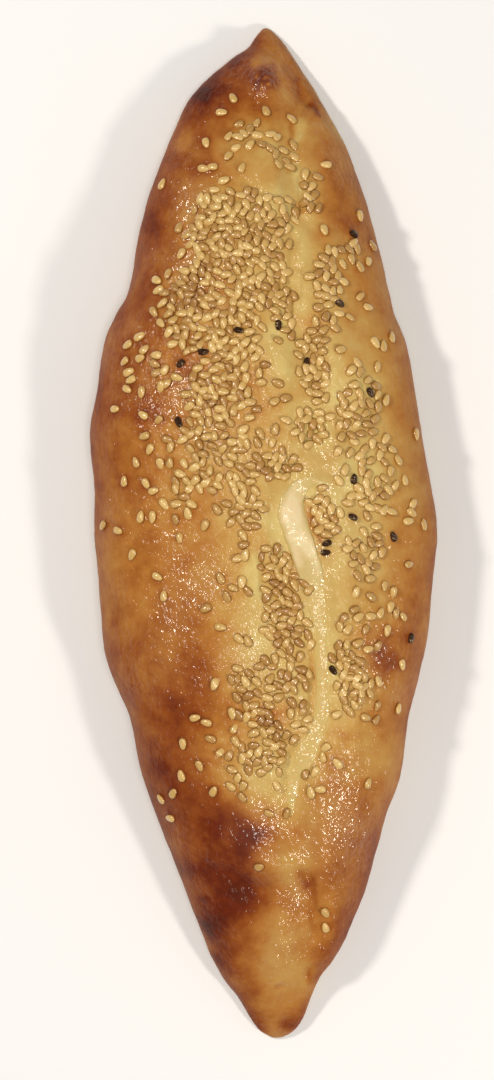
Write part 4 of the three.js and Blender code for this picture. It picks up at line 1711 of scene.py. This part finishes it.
@dataclass
class Studio:
    """The pale floor, the lights and the camera straight above the loaf; sizes are in metres."""

    distance: float = 2.4
    frame_height: float = 0.2765  # what the camera sees from top to bottom, at the loaf's waist
    waist: float = 0.012
    offset: tuple[float, float] = (-0.0042, -0.0018)
    sensor: float = 36.0
    sight: float = 20.0
    daylight: Colour = (1.0, 0.965, 0.89)
    sky_power: float = 0.84
    sky_spread: float = 14.0  # in degrees
    sky_tilt: tuple[float, float] = (4.0, 3.0)  # in degrees
    surroundings: float = 0.29
    floor_tone: tuple[float, float, float, float] = (0.84, 0.87, 0.93, 1.0)
    floor_reach: float = 30.0
    floor_gap: float = 0.0002  # between the floor and the loaf's base
    lamps: tuple[Lamp, ...] = (
        Lamp("key", (-0.47, 0.27, 0.73), 0.09, 3.8),
        Lamp("right", (0.44, -0.38, 0.55), 0.08, 2.4),
    )

    def build(self, low: Vector, high: Vector) -> None:
        """Sets up the floor, the lights, the surroundings and the camera.

        Args:
            low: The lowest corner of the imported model's box.
            high: The highest corner of it.
        """
        middle = (low + high) / 2
        self._floor(low.z - self.floor_gap)
        for lamp in self.lamps:
            self._hang(lamp, middle)
        self._sky()
        self._surroundings()
        self._camera(middle)
        bpy.context.scene.view_settings.view_transform = "Standard"

    def _put(self, name: str, data: bpy.types.ID) -> bpy.types.Object:
        """Puts a thing into the scene.

        Args:
            name: Its name.
            data: Its mesh, light or camera.

        Returns:
            The object that holds it.
        """
        thing = bpy.data.objects.new(name, data)
        bpy.context.scene.collection.objects.link(thing)
        return thing

    def _sky(self) -> None:
        """Lights everything evenly from nearly straight above."""
        data = bpy.data.lights.new("sky", "SUN")
        data.energy = self.sky_power
        data.angle = math.radians(self.sky_spread)
        data.color = self.daylight
        self._put("sky", data).rotation_euler = (*map(math.radians, self.sky_tilt), 0.0)

    def _floor(self, level: float) -> None:
        """Lays the floor.

        Args:
            level: Its height.
        """
        bm = bmesh.new()
        place = Matrix.Translation((0.0, 0.0, level))
        bmesh.ops.create_grid(bm, x_segments=1, y_segments=1, size=self.floor_reach, matrix=place)
        floor = self._put("floor", mesh_from(bm, "floor"))
        bench = Workbench("pale_floor")
        bench.shade(base_color=self.floor_tone, roughness=0.9)
        floor.data.materials.append(bench.material)
        floor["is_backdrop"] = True

    def _hang(self, lamp: Lamp, middle: Vector) -> None:
        """Hangs a light and turns it to the loaf.

        Args:
            lamp: The light.
            middle: The middle of the loaf.
        """
        data = bpy.data.lights.new(lamp.name, "AREA")
        data.shape = "SQUARE"
        data.size = lamp.size
        data.energy = lamp.power
        data.color = lamp.colour
        light = self._put(lamp.name, data)
        light.location = lamp.place
        light.rotation_euler = (middle - Vector(lamp.place)).to_track_quat("-Z", "Y").to_euler()

    def _surroundings(self) -> None:
        """Fills the room with an even pale light."""
        world = bpy.data.worlds.new("surroundings")
        world.use_nodes = True
        background = world.node_tree.nodes["Background"]
        background.inputs["Color"].default_value = (*self.daylight, 1.0)
        background.inputs["Strength"].default_value = self.surroundings
        bpy.context.scene.world = world

    def _camera(self, middle: Vector) -> None:
        """Puts the camera straight above the loaf, with the sharper tip at the top of the frame.

        Args:
            middle: The middle of the loaf.
        """
        data = bpy.data.cameras.new("camera")
        data.sensor_fit = "VERTICAL"
        data.sensor_height = self.sensor
        data.lens = self.sensor * self.distance / self.frame_height
        data.clip_end = self.sight
        camera = self._put("camera", data)
        height = self.waist + self.distance
        camera.location = (middle.x + self.offset[0], middle.y + self.offset[1], height)
        bpy.context.scene.camera = camera


def main() -> None:
    """Makes the manakish and the studio round it."""
    logging.basicConfig(level=logging.INFO, format="%(name)s: %(message)s")
    packed_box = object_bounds()
    Studio().build(*(Vector(corner) for corner in packed_box))
    draw = random.Random(RANDOM_SEED)
    noise.seed_set(RANDOM_SEED)  # else the noise that folds stray by starts from the clock

    loaf = Loaf()
    loaf.build()
    nigella = PlacedSeeds("nigella_seed", NIGELLA, Slot.NIGELLA, False, draw)
    lone_sesame = PlacedSeeds("sesame_seed", SESAME, Slot.SESAME, True, draw)
    nigella.find()
    lone_sesame.find()
    placed = [*nigella.seeds.values(), *lone_sesame.seeds.values()]
    loaf.embed(placed, sunk=0.16, reach=1.9)

    cheese = CheeseBand()
    cheese.build(loaf)
    topping = Topping(draw)
    topping.scatter(loaf, cheese, placed)
    loaf.brown([*placed, *(seed for seeds in topping.seeds.values() for seed in seeds)])

    loaf.dress()
    cheese.dress()
    nigella.dress(NigellaFinish().material())
    sesame = SesameFinish().material()
    lone_sesame.dress(sesame)
    topping.dress(sesame)


if __name__ == "__main__":
    main()
